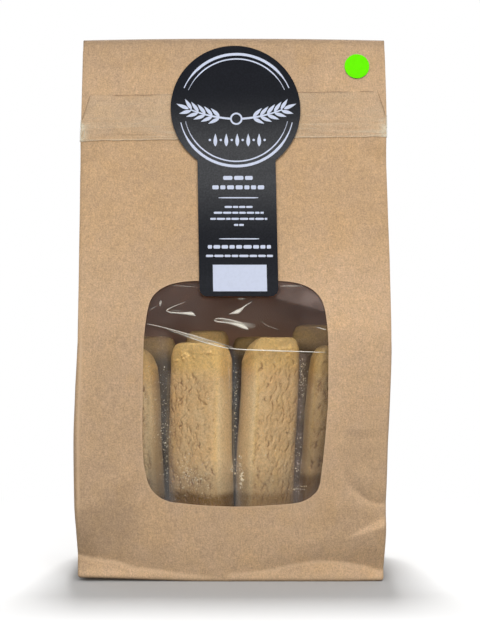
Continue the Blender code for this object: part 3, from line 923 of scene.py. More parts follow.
def film_material():
    """Clear glossy film: see-through, with a soft shine, a haze where it lies on the biscuits, painted reflections
    and painted blur of the biscuits' edges, and dust.
    """
    t = Tree("clear_film")
    fresnel = t.add("ShaderNodeFresnel")
    fresnel.inputs["IOR"].default_value = 1.5
    haze = t.noise(60.0, 4.0, 0.6, t.place((1.0, 1.0, 1.5)))
    dust = t.band(t.noise(1250.0, 2.0, 0.6), 0.60, 0.72, 0.0, 0.30)
    creases = t.noise(120.0, 2.0, 0.5, t.place((1.0, 1.0, 1.6), (0.0, 0.35, 0.0)))
    normal = t.bump(creases, 0.0004, 0.25)
    shine = t.add("ShaderNodeBsdfGlossy")
    shine.inputs["Roughness"].default_value = 0.09
    t.link(normal, shine.inputs["Normal"])
    t.link(normal, fresnel.inputs["Normal"])
    # the colour of the painted haze and reflections, by place
    low_tone = t.blend(t.band(t.across(), 0.012, 0.026), (0.76, 0.73, 0.70), (0.95, 0.74, 0.63))
    tone = t.blend(t.band(t.height(), 0.088, 0.100), low_tone, (0.95, 0.72, 0.64))
    # a painted glow, tinted like the biscuits, where the film blurs their lit edges
    tone = t.blend(t.read("warm"), tone, (0.98, 0.77, 0.54))
    milky = t.surface(tone, 0.7, None, Specular_IOR_Level=0.1)
    # painted haze and reflection, with dust
    cloudy = t.math("MULTIPLY", t.read("haze_and_reflection"), t.band(haze, 0.30, 0.72, 0.55, 1.35))
    cloudy = t.math("ADD", cloudy, t.math("MULTIPLY", dust, t.read("dusty")))
    cloudy = t.math("ADD", cloudy, 0.003, clamp=True)
    body = t.mixed(cloudy, t.clear((1.0, 1.0, 1.0)), milky)
    amount = t.math("MULTIPLY", fresnel.outputs["Fac"], 0.35, clamp=True)
    return t.done(t.mixed(amount, body, shine.outputs["BSDF"]))


def glint_material():
    """Painted highlights along the film's raised creases."""
    t = Tree("film_crease")
    strength = t.read("strength")
    broken = t.band(t.noise(900.0, 2.0, 0.5, t.place((0.35, 1.0, 1.0))), 0.25, 0.6, 0.80, 1.0)
    white = t.surface((0.98, 0.93, 0.80), 0.28, None, Specular_IOR_Level=0.7)
    return t.done(t.mixed(t.math("MULTIPLY", strength, broken, clamp=True), t.clear(), white))


# Creases of the film, each a raised fold with a painted highlight, in millimetres: points of (across, up, half
# width, strength) along each one.
CREASES = (
    # the long crease from the left-hand rim: thin lines side by side that run together
    ((-35.2, 104.3, 0.16, 0.60), (-28.6, 102.9, 0.20, 0.80), (-18.1, 100.1, 0.22, 0.90), (-10.1, 97.8, 0.20, 0.70),
     (-2.0, 95.4, 0.16, 0.50), (2.0, 93.8, 0.12, 0.40)),
    ((-26.2, 101.8, 0.12, 0.30), (-20.6, 100.0, 0.16, 0.60), (-12.5, 97.1, 0.24, 0.90), (-4.4, 94.8, 0.26, 0.95),
     (-0.4, 94.1, 0.20, 0.90)),
    ((-22.2, 101.3, 0.11, 0.28), (-16.5, 99.1, 0.14, 0.45), (-8.5, 96.4, 0.14, 0.50), (-2.8, 94.9, 0.12, 0.40)),
    ((-19.5, 100.6, 0.10, 0.22), (-13.5, 98.5, 0.12, 0.35), (-7.0, 96.4, 0.12, 0.35)),
    ((-27.0, 102.2, 0.25, 0.06), (-17.0, 99.3, 1.40, 0.14), (-8.5, 96.7, 1.20, 0.18), (-1.5, 94.5, 0.30, 0.08)),
    ((-1.6, 94.4, 0.18, 0.60), (2.0, 93.85, 0.24, 0.95), (8.5, 93.5, 0.29, 1.00), (19.8, 93.1, 0.28, 1.00),
     (27.8, 92.85, 0.24, 0.95), (39.0, 92.5, 0.20, 0.85)),
    ((6.0, 94.0, 0.10, 0.20), (13.0, 93.75, 0.14, 0.32), (20.0, 93.5, 0.10, 0.20)),
    # first glint: a tip with a thin arm and a thick one
    ((-26.4, 109.1, 0.12, 0.45), (-25.6, 109.8, 0.30, 0.70), (-23.6, 110.9, 0.24, 0.60), (-17.7, 113.3, 0.12, 0.42)),
    ((-26.4, 109.4, 0.14, 0.60), (-24.6, 108.7, 0.36, 0.72), (-21.2, 108.4, 0.40, 0.66), (-18.2, 108.3, 0.62, 0.85),
     (-16.3, 108.2, 0.86, 0.88), (-15.2, 107.8, 0.62, 0.75), (-14.2, 107.1, 0.14, 0.45)),
    ((-24.8, 109.6, 0.08, 0.18), (-22.0, 109.4, 0.40, 0.16), (-18.5, 109.0, 0.10, 0.10)),
    # second glint, rising to the right
    ((-1.2, 107.9, 0.12, 0.30), (0.8, 108.4, 0.50, 0.75), (2.6, 109.0, 1.00, 1.00), (4.2, 110.0, 0.62, 0.88),
     (5.6, 111.2, 0.32, 0.70), (8.8, 113.3, 0.14, 0.45)),
    # third glint, the largest: a bright lower edge and a thin upper one
    ((-7.2, 105.7, 0.14, 0.50), (-5.6, 105.0, 0.36, 0.70), (-1.6, 104.5, 0.38, 0.62), (1.8, 103.9, 0.75, 0.85),
     (4.4, 103.2, 1.05, 0.96), (6.2, 102.3, 0.65, 0.90), (7.2, 101.7, 0.15, 0.40)),
    ((-7.0, 105.7, 0.14, 0.45), (-4.8, 106.2, 0.34, 0.62), (-1.0, 105.8, 0.32, 0.55), (2.2, 104.9, 0.32, 0.50),
     (5.4, 104.1, 0.22, 0.36)),
    ((-4.5, 105.6, 0.30, 0.16), (0.5, 105.0, 0.85, 0.28), (4.5, 103.9, 1.10, 0.32), (8.5, 103.2, 1.30, 0.13),
     (10.4, 103.0, 0.50, 0.03)),
    # small ones
    ((2.2, 114.3, 0.14, 0.42), (4.2, 114.15, 0.42, 0.60), (6.2, 114.3, 0.14, 0.38)),
    ((11.7, 105.6, 0.10, 0.18), (14.9, 103.2, 0.22, 0.28), (19.8, 101.6, 0.12, 0.20)),
    ((34.2, 102.7, 0.12, 0.50), (36.4, 102.2, 0.26, 0.75), (38.6, 101.5, 0.24, 0.60)),
    ((-28.3, 113.8, 0.35, 0.30), (-28.6, 112.4, 0.60, 0.45), (-28.8, 110.9, 0.25, 0.22)),
    ((-29.4, 111.6, 0.12, 0.20), (-33.6, 109.3, 0.34, 0.24)),
    # pale creases near the rim
    ((18.6, 119.3, 0.14, 0.22), (24.0, 119.4, 0.32, 0.38), (31.0, 119.4, 0.16, 0.28)),
    ((-26.0, 120.0, 0.16, 0.16), (-20.0, 119.4, 0.28, 0.20), (-13.0, 118.9, 0.14, 0.14)),
    # short ones over the biscuits
    ((-1.4, 89.0, 0.10, 0.22), (-0.7, 82.0, 0.16, 0.26), (-0.9, 76.0, 0.10, 0.16)),
    ((27.6, 90.0, 0.10, 0.20), (28.2, 84.0, 0.14, 0.24), (27.4, 79.0, 0.10, 0.14)),
)


def smooth_path(points, steps):
    """More points along a smooth curve through these."""
    points = np.array(points, float)
    padded = np.vstack([2 * points[0] - points[1], points, 2 * points[-1] - points[-2]])
    path = []
    for i in range(1, len(padded) - 2):
        p0, p1, p2, p3 = padded[i - 1:i + 3]
        for k in range(steps):
            t = k / steps
            path.append(0.5 * ((2 * p1) + (p2 - p0) * t + (2 * p0 - 5 * p1 + 4 * p2 - p3) * t ** 2
                               + (3 * p1 - p0 - 3 * p2 + p3) * t ** 3))
    path.append(padded[-2])
    return np.array(path)


def ribbon(path, lift):
    """A raised narrow fold along a path of (x, z, half width, strength of its painted highlight), soft at its edges.
    """
    tangent = np.gradient(path[:, :2], axis=0)
    tangent /= np.linalg.norm(tangent, axis=1)[:, None] + 1e-12
    normal = np.column_stack([-tangent[:, 1], tangent[:, 0]])
    points, strengths = [], []
    for offset, share, raised in ((-1.0, 0.0, 0.0), (-0.5, 0.75, 0.7), (0.0, 1.0, 1.0), (0.5, 0.75, 0.7),
                                  (1.0, 0.0, 0.0)):
        xz = path[:, :2] + normal * (path[:, 2] * offset)[:, None]
        y = film_y(xz[:, 0], xz[:, 1]) - 0.00006 - lift * raised
        points.append(np.column_stack([xz[:, 0], y, xz[:, 1]]))
        strengths.append(path[:, 3] * share)
    count = len(path)
    taper = np.clip(np.minimum(np.arange(count), np.arange(count)[::-1]) / 3.0, 0.0, 1.0)
    order = np.stack(points, axis=1).reshape(-1, 3)
    values = (np.stack(strengths, axis=1) * taper[:, None]).reshape(-1)
    return order, grid_faces(count, 5), values


class SHORTBREAD_OT_film(bpy.types.Operator):
    """Makes the clear window film with its crinkles and the painted highlights on its creases"""
    bl_idname = "shortbread.film"
    bl_label = "Window film"

    def execute(self, context):
        low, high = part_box("window_film")
        xs = np.linspace(low[0], high[0], 200)
        zs = np.linspace(low[2], high[2], 160)
        gx, gz = np.meshgrid(xs, zs)
        points = np.column_stack([gx.ravel(), film_y(gx, gz).ravel(), gz.ravel()])
        film = new_piece("film_sheet", points, grid_faces(len(zs), len(xs)), film_material(),
                         ["window_film"])
        x, z = points[:, 0] / MM, points[:, 2] / MM
        # clear over the dark space and with a haze where it lies on the biscuits; painted reflections make it milky
        # in one upper corner and faintly cloudy elsewhere high up
        crease = np.interp(x, (-36, -28.6, -18, -8.5, -1, 8.5, 39), (104, 102.2, 99.4, 96.6, 94.2, 93.5, 92.5))
        below = ease((crease - z) / 1.5)
        gaps = np.zeros(x.shape)
        for top, bottom, half, share in ((-27.4, -25.8, 2.4, 1.05), (1.2, 2.4, 1.4, 1.35), (28.8, 26.6, 1.8, 1.8)):
            middle = top + (bottom - top) * (87.5 - z) / 48.4
            gaps = np.maximum(gaps, share * np.exp(-((x - middle) / half) ** 2))
        haze_and_reflection = below * (0.012 + 0.056 * gaps - 0.006 * ease((40 - z) / 6) + 0.030 * ease((-27 - x) / 6))
        haze_and_reflection = haze_and_reflection + 0.034 * (1 - below) * ease((z - 98) / 8)
        border = np.interp(x, (4, 10, 19, 27.8, 33, 38.3), (117.3, 115.8, 113.7, 111.5, 110.1, 108.4))
        haze_and_reflection = haze_and_reflection + 0.10 * ease((z - border) / 0.9) * ease((x - 2) / 20)
        haze_and_reflection = haze_and_reflection + 0.012 * ease((x - 14) / 12) * (1 - below) * ease((z - crease) / 4)
        haze_and_reflection = haze_and_reflection + 0.022 * ease((x - 26) / 6) * (1 - below) * ease((z - crease) / 2)
        haze_and_reflection = haze_and_reflection + 0.018 * ease((-4 - x) / 8) * (1 - below) * ease((z - 99) / 4)
        haze_and_reflection = haze_and_reflection + 0.020 * np.exp(-((x + 29) / 4.5) ** 2 - ((z - 114) / 4.0) ** 2)
        haze_and_reflection = haze_and_reflection + 0.035 * np.exp(-((x - 32) / 5.0) ** 2 - ((z - 34) / 3.5) ** 2)
        # painted haze where the film blurs the lit edges of the biscuits
        soft = np.zeros(x.shape)
        for upper, lower, wide, bottom, top, strength in SOFT_EDGES:
            middle = lower + (upper - lower) * (z - 45) / 40
            shown = ease((z - bottom + 3) / 6) * ease((top + 3 - z) / 6)
            soft = np.maximum(soft, strength * shown * np.exp(-((x - middle) / wide) ** 2))
        haze_and_reflection = np.maximum(haze_and_reflection, soft * 0.8) + soft * 0.4
        haze_and_reflection = haze_and_reflection + 0.040 * ease((56 - z) / 14) * ease((x + 27) / 4) * (1 - 0.4 * ease((x - 2) / 4))
        haze_and_reflection = haze_and_reflection - 0.030 * ease((39 - z) / 3) * ease((x + 24) / 3) * ease((4 - x) / 3)
        dusty = below * (0.10 + 0.45 * gaps + 0.85 * np.exp(-((x + 15.5) / 5.0) ** 2 - ((z - 45) / 9.0) ** 2)
                         + 0.10 * ease((48 - z) / 12))
        paint(film, "haze_and_reflection", np.clip(haze_and_reflection, 0, 1))
        # tints that painted haze like the biscuits
        paint(film, "warm", np.clip(soft / 0.08, 0, 1))
        paint(film, "dusty", np.clip(dusty, 0, 1))

        glint = glint_material()
        all_points, all_faces, all_values = [], [], []
        lines = [np.array(line, float) * (MM, MM, MM, 1.0) for line in CREASES]
        for line in lines:
            path = smooth_path(line, 8)
            path[:, 2] = np.clip(path[:, 2], 0.06 * MM, None)
            pts, quads, values = ribbon(path, 0.00012)
            start = sum(len(p) for p in all_points)
            all_points.append(pts)
            all_faces += [tuple(i + start for i in quad) for quad in quads]
            all_values.append(values)
        creases = new_piece("film_creases", np.concatenate(all_points), all_faces, glint)
        paint(creases, "strength", np.clip(np.concatenate(all_values), 0, 1))
        return {"FINISHED"}


# ------------------------------------------------------------ label, its print and the dot
LABEL_LIFT = 0.00095     # the label's face in front of the paper
LABEL_THICK = 0.0002


def label_middle(z):
    return LABEL_X + (LABEL_TOP - LABEL_RADIUS - z) * LABEL_SLANT


def label_y(x, z):
    """The label's outer face: it follows the paper's broad waves."""
    x, z = np.asarray(x, float), np.asarray(z, float)
    over_window = ease((0.1225 - z) / 0.002)
    return front(z) + relief(x, z) * 0.8 * (1 - over_window) - LABEL_LIFT


def label_half(z):
    centre = LABEL_TOP - LABEL_RADIUS
    head = math.sqrt(max(LABEL_RADIUS ** 2 - (z - centre) ** 2, 0.0))
    if z >= centre:
        return head
    tail = TAIL_HALF
    rise = z - LABEL_BOTTOM
    if rise < TAIL_CORNER:
        tail -= TAIL_CORNER - math.sqrt(max(TAIL_CORNER ** 2 - (TAIL_CORNER - rise) ** 2, 0.0))
    # the label is as wide as the wider of its head and its tail
    return max(head, tail)


def label_material(settings):
    t = Tree("black_label")
    z = t.height()
    black = tuple(settings.black)
    # a painted sheen: the tail is painted lighter under the head than at its end
    painted_sheen = t.math("MULTIPLY", t.band(z, 0.1330, 0.1700, 0.0, 1.0), t.band(z, 0.1700, 0.2020, 1.0, 0.0))
    wave = t.noise(30.0, 2.0, 0.5, t.place((0.4, 1.0, 1.0)))
    painted_sheen = t.math("MULTIPLY", painted_sheen, t.band(wave, 0.3, 0.7, 0.75, 1.15))
    grey = t.blend(painted_sheen, black, tuple(c + 0.052 for c in black))
    # painted sheen again, a little, at the tail's foot
    low = t.band(z, 0.1152, 0.1500, 0.35, 0.0)
    grey = t.blend(low, grey, tuple(c + 0.030 for c in black))
    speck = t.band(t.noise(1400.0, 2.0, 0.6), 0.3, 0.8, 0.85, 1.25)
    grey = t.blend(1.0, grey, speck, "MULTIPLY")
    normal = t.bump(t.noise(700.0, 2.0, 0.5), 0.00002, 0.5)
    rough = t.band(wave, 0.3, 0.7, 0.40, 0.52)
    return t.done(t.surface(grey, rough, normal, Specular_IOR_Level=0.06))


def ink_material(settings):
    t = Tree("label_ink")
    ink = tuple(settings.ink)
    wear_and_highlight = t.band(t.noise(700.0, 2.0, 0.6), 0.30, 0.62, 0.965, 1.0)
    colour = t.blend(1.0, ink, wear_and_highlight, "MULTIPLY")
    return t.done(t.surface(colour, 0.6, None, Specular_IOR_Level=0.0))


def print_patch(outline, lift=0.00003):
    """A flat inked shape from its outline of (across, up) points in metres on the label."""
    mesh = bmesh.new()
    ring = [mesh.verts.new((x, 0.0, z)) for x, z in outline]
    mesh.faces.new(ring)
    bmesh.ops.triangulate(mesh, faces=mesh.faces)
    points = [(v.co.x, float(label_y(v.co.x, v.co.z)) - lift, v.co.z) for v in mesh.verts]
    mesh.verts.index_update()
    faces = [[v.index for v in f.verts] for f in mesh.faces]
    mesh.free()
    return points, faces


def strip_patch(path, half, lift=0.00003):
    """An inked line of varying half width along a path of (across, up) points."""
    path = np.array(path, float)
    half = np.broadcast_to(half, len(path))
    tangent = np.gradient(path, axis=0)
    tangent /= np.linalg.norm(tangent, axis=1)[:, None] + 1e-12
    normal = np.column_stack([-tangent[:, 1], tangent[:, 0]])
    rows = []
    for sign in (-1, 1):
        xz = path + normal * (half * sign)[:, None]
        rows.append(np.column_stack([xz[:, 0], label_y(xz[:, 0], xz[:, 1]) - lift, xz[:, 1]]))
    points = np.stack(rows, axis=1).reshape(-1, 3)
    return [tuple(p) for p in points], grid_faces(len(path), 2)


def arc_path(centre, radius, start, end, steps):
    angles = np.radians(np.linspace(start, end, steps))
    return np.column_stack([centre[0] + radius * np.cos(angles), centre[1] + radius * np.sin(angles)])


def bar(centre_x, z, half_width, half_height):
    """A straight inked bar with round ends, level with the label's slant."""
    path = np.column_stack([np.linspace(centre_x - half_width, centre_x + half_width, 10), np.full(10, z)])
    widths = np.full(10, half_height)
    widths[0] = widths[-1] = half_height * 0.55
    return strip_patch(path, widths)


def leaf(root, turn, length, width):
    """A pointed leaf shape, as an outline."""
    c, s = math.cos(turn), math.sin(turn)
    shape = []
    for t in np.linspace(0, 1, 9):
        shape.append((t * length, width * math.sin(math.pi * t ** 0.75)))
    for t in np.linspace(1, 0, 9)[1:-1]:
        shape.append((t * length, -width * math.sin(math.pi * t ** 0.75)))
    return [(root[0] + a * c - b * s, root[1] + a * s + b * c) for a, b in shape]


def wheat_ear(start, turn, side):
    """A curved stalk with pairs of grains along it: the outlines and the stalk's path."""
    stalk, outlines = [], []
    x, z = start
    heading = turn
    step = 0.00060
    for number in range(30):
        stalk.append((x, z))
        x += step * math.cos(heading)
        z += step * math.sin(heading)
        heading += side * 0.011
        if number in (7, 12, 17, 22, 27):
            for flank in (-1, 1):
                root = (x - flank * 0.0003 * math.sin(heading), z + flank * 0.0003 * math.cos(heading))
                outlines.append(leaf(root, heading + flank * 0.62, 0.0052, 0.00074))
    outlines.append(leaf((x, z), heading, 0.0056, 0.00074))
    return stalk, outlines


# Print down the tail in metres: height, half width and half thickness. The thinnest are ruled lines.
TAIL_PRINT = ((0.1637, 0.0061, 0.00082), (0.1598, 0.0106, 0.00082), (0.1555, 0.0081, 0.00024),
              (0.1517, 0.0057, 0.00042), (0.1493, 0.0102, 0.00042), (0.1468, 0.0116, 0.00042),
              (0.1443, 0.0020, 0.00042), (0.1386, 0.0081, 0.00024), (0.1353, 0.0128, 0.00072),
              (0.1316, 0.0136, 0.00048))


def label_print():
    """All the inked shapes on the label, as one list of patches."""
    patches = []
    centre = (LABEL_X + 0.0004, 0.1921)
    for radius, half in ((0.0235, 0.00056), (0.0215, 0.00028)):
        for start, end in ((23.0, 157.0), (193.0, 347.0)):
            path = arc_path(centre, radius, start, end, 90)
            taper = np.clip(np.minimum(np.arange(90), np.arange(90)[::-1]) / 16.0, 0.35, 1.0)
            patches.append(strip_patch(path, half * taper))
    # two wheat ears that lie across the middle through the gap in the rings, tied together
    for side in (-1, 1):
        start = (LABEL_X + 0.0003 + side * 0.0021, 0.1884)
        turn = math.radians(4) if side > 0 else math.radians(176)
        stalk, outlines = wheat_ear(start, turn, side)
        patches.append(strip_patch(stalk, np.linspace(0.00045, 0.00026, len(stalk))))
        patches += [print_patch(outline) for outline in outlines]
    turns = np.linspace(0, 2 * math.pi, 33)
    knot = [(LABEL_X + 0.0003 + 0.0022 * math.cos(a), 0.1884 + 0.0022 * math.sin(a)) for a in turns]
    patches.append(strip_patch(knot, 0.00036))
    # a band of upright leaves and dots under them
    for k in range(-5, 6):
        x, z = LABEL_X + 0.0007 + k * 0.00225, 0.1795
        if k % 2:
            patches.append(print_patch([(x + 0.00052 * math.cos(a), z + 0.00052 * math.sin(a))
                                        for a in turns[:-1:4]]))
        else:
            patches.append(print_patch(leaf((x, z - 0.0027), math.pi / 2, 0.0054, 0.00078)))
    rng = np.random.default_rng(5)
    for z, half, thick in TAIL_PRINT:
        middle = float(label_middle(z)) + 0.0005
        if thick < 0.0003:
            patches.append(bar(middle, z, half, thick))
            continue
        # a line of print is broken into short plain bars
        x = -half
        while x < half - 0.0004:
            length = float(rng.uniform(2.4, 5.2)) * thick * (1.0 if thick > 0.0006 else 1.7)
            end = min(x + length, half)
            patches.append(bar(middle + (x + end) / 2, z, max((end - x) / 2, 0.0002), thick))
            x = end + thick * 0.8
    # the blank pale box
    z0, z1 = 0.1172, 0.1280
    corners = [(float(label_middle(z)) + 0.0005 + x, z)
               for z, x in ((z0, -0.0109), (z0, 0.0109), (z1, 0.0109), (z1, -0.0109))]
    box_points = []
    for a, b in zip(corners, corners[1:] + corners[:1]):
        for t in np.linspace(0, 1, 8)[:-1]:
            box_points.append((a[0] + (b[0] - a[0]) * t, a[1] + (b[1] - a[1]) * t))
    patches.append(print_patch(box_points))
    return patches


class SHORTBREAD_OT_label(bpy.types.Operator):
    """Makes the black keyhole label with its plain print, and the small round sticker"""
    bl_idname = "shortbread.label"
    bl_label = "Label and dot"

    def execute(self, context):
        settings = context.scene.shortbread_label
        centre = LABEL_TOP - LABEL_RADIUS
        heights = [LABEL_BOTTOM + TAIL_CORNER * (1 - math.cos(math.radians(a))) for a in range(4, 91, 8)]
        heights += list(np.linspace(LABEL_BOTTOM + 0.0045, centre - LABEL_RADIUS * 0.81, 30))
        heights += [centre - LABEL_RADIUS * math.cos(math.radians(a)) for a in range(38, 179, 2)]
        columns = 31
        points = []
        for z in heights:
            half = label_half(z)
            middle = float(label_middle(z))
            for share in np.linspace(-1, 1, columns):
                x = middle + share * half
                points.append((x, float(label_y(x, z)), z))
        label = new_piece("label_sheet", points, grid_faces(len(heights), columns), label_material(settings),
                          ["label"])
        thicken(label, LABEL_THICK)
        sharpen(label, 50)

        all_points, all_faces = [], []
        for pts, faces in label_print():
            start = len(all_points)
            all_points += list(pts)
            all_faces += [tuple(i + start for i in quad) for quad in faces]
        new_piece("label_print", all_points, all_faces, ink_material(settings))

        x0, z0 = DOT_CENTRE
        points = []
        for radius in (DOT_RADIUS, DOT_RADIUS * 0.97, DOT_RADIUS * 0.6, DOT_RADIUS * 0.2):
            for i in range(96):
                a = 2 * math.pi * i / 96
                x, z = x0 + radius * math.cos(a), z0 + radius * math.sin(a)
                points.append((x, float(face(x, z)) - 0.00042, z))
        faces = grid_faces(4, 96, wrap=True) + [tuple(3 * 96 + i for i in range(96))]
        t = Tree("green_sticker")
        green = tuple(settings.green)
        mottle = t.band(t.noise(600.0, 2.0, 0.5), 0.3, 0.7, 0.965, 1.0)
        dot = new_piece("dot_disc", points, faces,
                        t.done(t.surface(t.blend(1.0, green, mottle, "MULTIPLY"), 0.6,
                                         t.bump(t.noise(900.0, 2.0, 0.5), 0.00002, 0.4),
                                         Specular_IOR_Level=0.0)),
                        ["dot_sticker"])
        thicken(dot, 0.00015)
        sharpen(dot, 50)
        return {"FINISHED"}


# ------------------------------------------------------------ tape
def tape_material():
    """Clear tape with fine brushed streaks and a faint olive cast."""
    t = Tree("clear_tape")
    streaks = t.noise(1.0, 2.0, 0.6, t.place((38.0, 30.0, 1150.0)))
    mottle = t.noise(95.0, 3.0, 0.6, t.place((0.6, 1.0, 1.6)))
    lower = t.band(t.height(), 0.1805, 0.1935, 1.0, 0.25)
    dark = t.math("MULTIPLY", t.band(streaks, 0.52, 0.70, 0.0, 0.20), lower)
    # painted shadow along the tape's edges
    dark = t.math("ADD", dark, t.math("MULTIPLY", t.read("edge_shadow"), 0.85), clamp=True)
    tint = t.blend(dark, (1.0, 1.0, 1.0), (0.45, 0.38, 0.30))
    normal = t.bump(streaks, 0.000004, 0.5)
    fresnel = t.add("ShaderNodeFresnel")
    fresnel.inputs["IOR"].default_value = 1.48
    t.link(normal, fresnel.inputs["Normal"])
    shine = t.add("ShaderNodeBsdfGlossy")
    shine.inputs["Roughness"].default_value = 0.25
    t.link(normal, shine.inputs["Normal"])
    # painted highlights where the tape turns round the sides and just above its lower edge
    cast = t.blend(t.read("edge_highlight"), (0.93, 0.95, 0.76), (0.98, 0.90, 0.68))
    milky = t.surface(cast, 0.6, None, Specular_IOR_Level=0.2)
    pale = t.math("MULTIPLY", t.band(streaks, 0.30, 0.48, 0.13, 0.0), lower)
    pale = t.math("ADD", pale, t.band(mottle, 0.35, 0.65, 0.03, 0.085))
    pale = t.math("ADD", pale, t.math("MULTIPLY", t.read("edge_highlight"), 0.80), clamp=True)
    body = t.mixed(pale, t.clear(tint), milky)
    return t.done(t.mixed(t.math("MULTIPLY", fresnel.outputs["Fac"], 0.12), body, shine.outputs["BSDF"]))


TAPE_COLUMNS = 200


def tape_end(side, z):
    """Where the front band ends at one height: its upper corners are cut at a slant."""
    slant = TAPE_CHAMFER * np.clip((z - TAPE_WRAP_TOP) / (TAPE_HIGH - TAPE_WRAP_TOP), 0, 1)
    return (left(z) + slant + 0.0005) if side < 0 else (right(z) - slant - 0.0005)


class SHORTBREAD_OT_tape(bpy.types.Operator):
    """Makes the clear tape across the front, round both sides and onto the folded top"""
    bl_idname = "shortbread.tape"
    bl_label = "Closing tape"

    def execute(self, context):
        tape = tape_material()
        rows = np.concatenate([TAPE_LOW + np.array([0.0, 0.00018, 0.00032, 0.0005, 0.0009]),
                               np.linspace(TAPE_LOW + 0.0016, TAPE_HIGH - 0.0012, 22),
                               TAPE_HIGH - np.array([0.0007, 0.00035, 0.00018, 0.0])])
        count = TAPE_COLUMNS
        share = np.arange(count) / (count - 1.0)
        points, dark, pale = [], [], []
        for row, z in enumerate(rows):
            x = tape_end(-1, z) + share * (tape_end(1, z) - tape_end(-1, z))
            wobble = 0.00012 * ripple(share * 26, 0.0, 0.0, 61) * (1.0 if row < 4 or row > len(rows) - 5 else 0.0)
            level = z + wobble - 0.0006 + 0.00185 * share
            points.append(np.column_stack([x, face(x, level) - 0.00030, level]))
            broken = 0.5 + 0.5 * ripple(share * 40, row * 0.1, 0.0, 63)
            # painted shadow lines along the lower and upper edges and down the slanted corners
            line = {0: 0.85, 1: 0.55, len(rows) - 1: 0.95, len(rows) - 2: 0.75, len(rows) - 3: 0.25}.get(row, 0.0)
            line = line * (np.ones(count) if row < 2 else ease(broken * 1.6))
            inset = np.minimum(x - left(z), right(z) - x)
            slanted = (z > TAPE_WRAP_TOP) * ((np.arange(count) < 1) | (np.arange(count) > count - 2))
            dark.append(np.maximum(line, slanted * (0.75 + 0.25 * ease(broken * 1.5))))
            # painted highlight where the tape turns round each side, and a light line just above the lower edge
            glow = np.exp(-(inset / 0.0022) ** 2) * ease((TAPE_WRAP_TOP - 0.0005 - z) / 0.0025)
            glow = glow * ease(ripple(x * 900, 1.0, z * 650, 67) + 0.75)
            pale.append(np.maximum(glow * 0.60, 0.22 if row in (2, 3) else 0.0))
        front_tape = new_piece("tape_front", np.concatenate(points), grid_faces(len(rows), count), tape,
                               ["closing_tape"])
        paint(front_tape, "edge_shadow", np.clip(np.concatenate(dark), 0, 1))
        paint(front_tape, "edge_highlight", np.clip(np.concatenate(pale), 0, 1))

        points, faces, dark, pale = [], [], [], []
        for side in (-1, 1):
            heights = np.linspace(TAPE_LOW, TAPE_WRAP_TOP, 18)
            start = len(points)
            width = 0
            for row, z in enumerate(heights):
                z = z - 0.0006 + 0.00185 * (0.0 if side < 0 else 1.0)
                x = float(left(z)) if side < 0 else float(right(z))
                y0 = float(face(x - side * 0.0006, z)) - 0.00030
                y1 = float(back(z)) + 0.0003 + FLAP_THICKNESS + 0.0007
                line = [(x - side * 0.0006, y0)]
                for a in (25, 50, 75):
                    c, s = math.cos(math.radians(a)), math.sin(math.radians(a))
                    line.append((x - side * 0.0006 + side * 0.0008 * s, y0 + 0.0008 * (1 - c)))
                for y in np.linspace(y0 + 0.0012, y1 - 0.0008, 9):
                    line.append((x + side * (0.00018 + 0.00008 * float(ripple(y * 900, side, z * 600, 65))), y))
                for a in (30, 60):
                    c, s = math.cos(math.radians(a)), math.sin(math.radians(a))
                    line.append((x + side * 0.0002 - side * 0.0008 * (1 - c), y1 - 0.0008 * (1 - s)))
                reach = TAPE_RETURN * (1 - 0.06 * float(ripple(z * 700, side * 3.0, 0.0, 66)))
                for part in np.linspace(0.1, 1.0, 12):
                    line.append((x - side * reach * part, y1))
                width = len(line)
                for k, (px, py) in enumerate(line):
                    points.append((px, py, z))
                    # painted shadow along the lower and far edges, painted highlight where it turns round the side
                    # and near its far end
                    dark.append(0.7 if row == 0 or k == width - 1 else 0.0)
                    glow = float(ease(ripple(z * 900, side, 0.0, 67) + 0.6))
                    pale.append(0.45 * math.exp(-((k - 3) / 2.5) ** 2) * glow + (0.3 if k == width - 2 else 0.0))
            faces += [tuple(i + start for i in quad) for quad in grid_faces(len(heights), width)]
        ends = new_piece("tape_ends", points, faces, tape, ["closing_tape"])
        paint(ends, "edge_shadow", np.clip(dark, 0, 1))
        paint(ends, "edge_highlight", np.clip(pale, 0, 1))
        return {"FINISHED"}


# ------------------------------------------------------------ shortbread
FINGER_ROWS = {
    # name: centre across, centre deep, turn, drift, width, thickness, height, swell
    "finger_front_1": (-0.0380, -0.0190, -17.0, -0.0040, 0.0220, 0.0162, 0.0928, 0.04),
    "finger_front_2": (-0.0126, -0.0186, -30.0, 0.0000, 0.0257, 0.0160, 0.0953, 0.11),
    "finger_front_3": (0.0129, -0.0188, 31.0, 0.0034, 0.0226, 0.0162, 0.0975, 0.02),
    "finger_front_4": (0.0388, -0.0192, 9.0, 0.0040, 0.0213, 0.0160, 0.0940, 0.04),
    "finger_back_1": (-0.0348, 0.0056, 6.0, 0.0006, 0.0198, 0.0165, 0.0974, 0.03),
    "finger_back_2": (-0.0114, 0.0054, -7.0, 0.0008, 0.0186, 0.0160, 0.0999, 0.04),
    "finger_back_3": (0.0096, 0.0056, 5.0, 0.0004, 0.0190, 0.0164, 0.0972, 0.02),
    "finger_back_4": (0.0352, 0.0052, -6.0, 0.0012, 0.0200, 0.0162, 0.1024, 0.03),
}
FINGER_BASE = 0.0009
FINGER_SQUARENESS = 4.2


# Where each front finger's top slopes down at its left and right: start and span from its middle
# and the fall over that span, in millimetres.
SHOULDERS = {
    "finger_front_1": ((-30, 9, 0.0), (4.6, 4.6, 2.3)),
    "finger_front_2": ((-8.0, 3.4, 1.3), (5.4, 5.4, 2.1)),
    "finger_front_3": ((-3.5, 6.0, 4.0), (9.0, 3.0, 1.0)),
    "finger_front_4": ((-5.0, 5.0, 1.4), (30.0, 9.0, 0.0)),
}
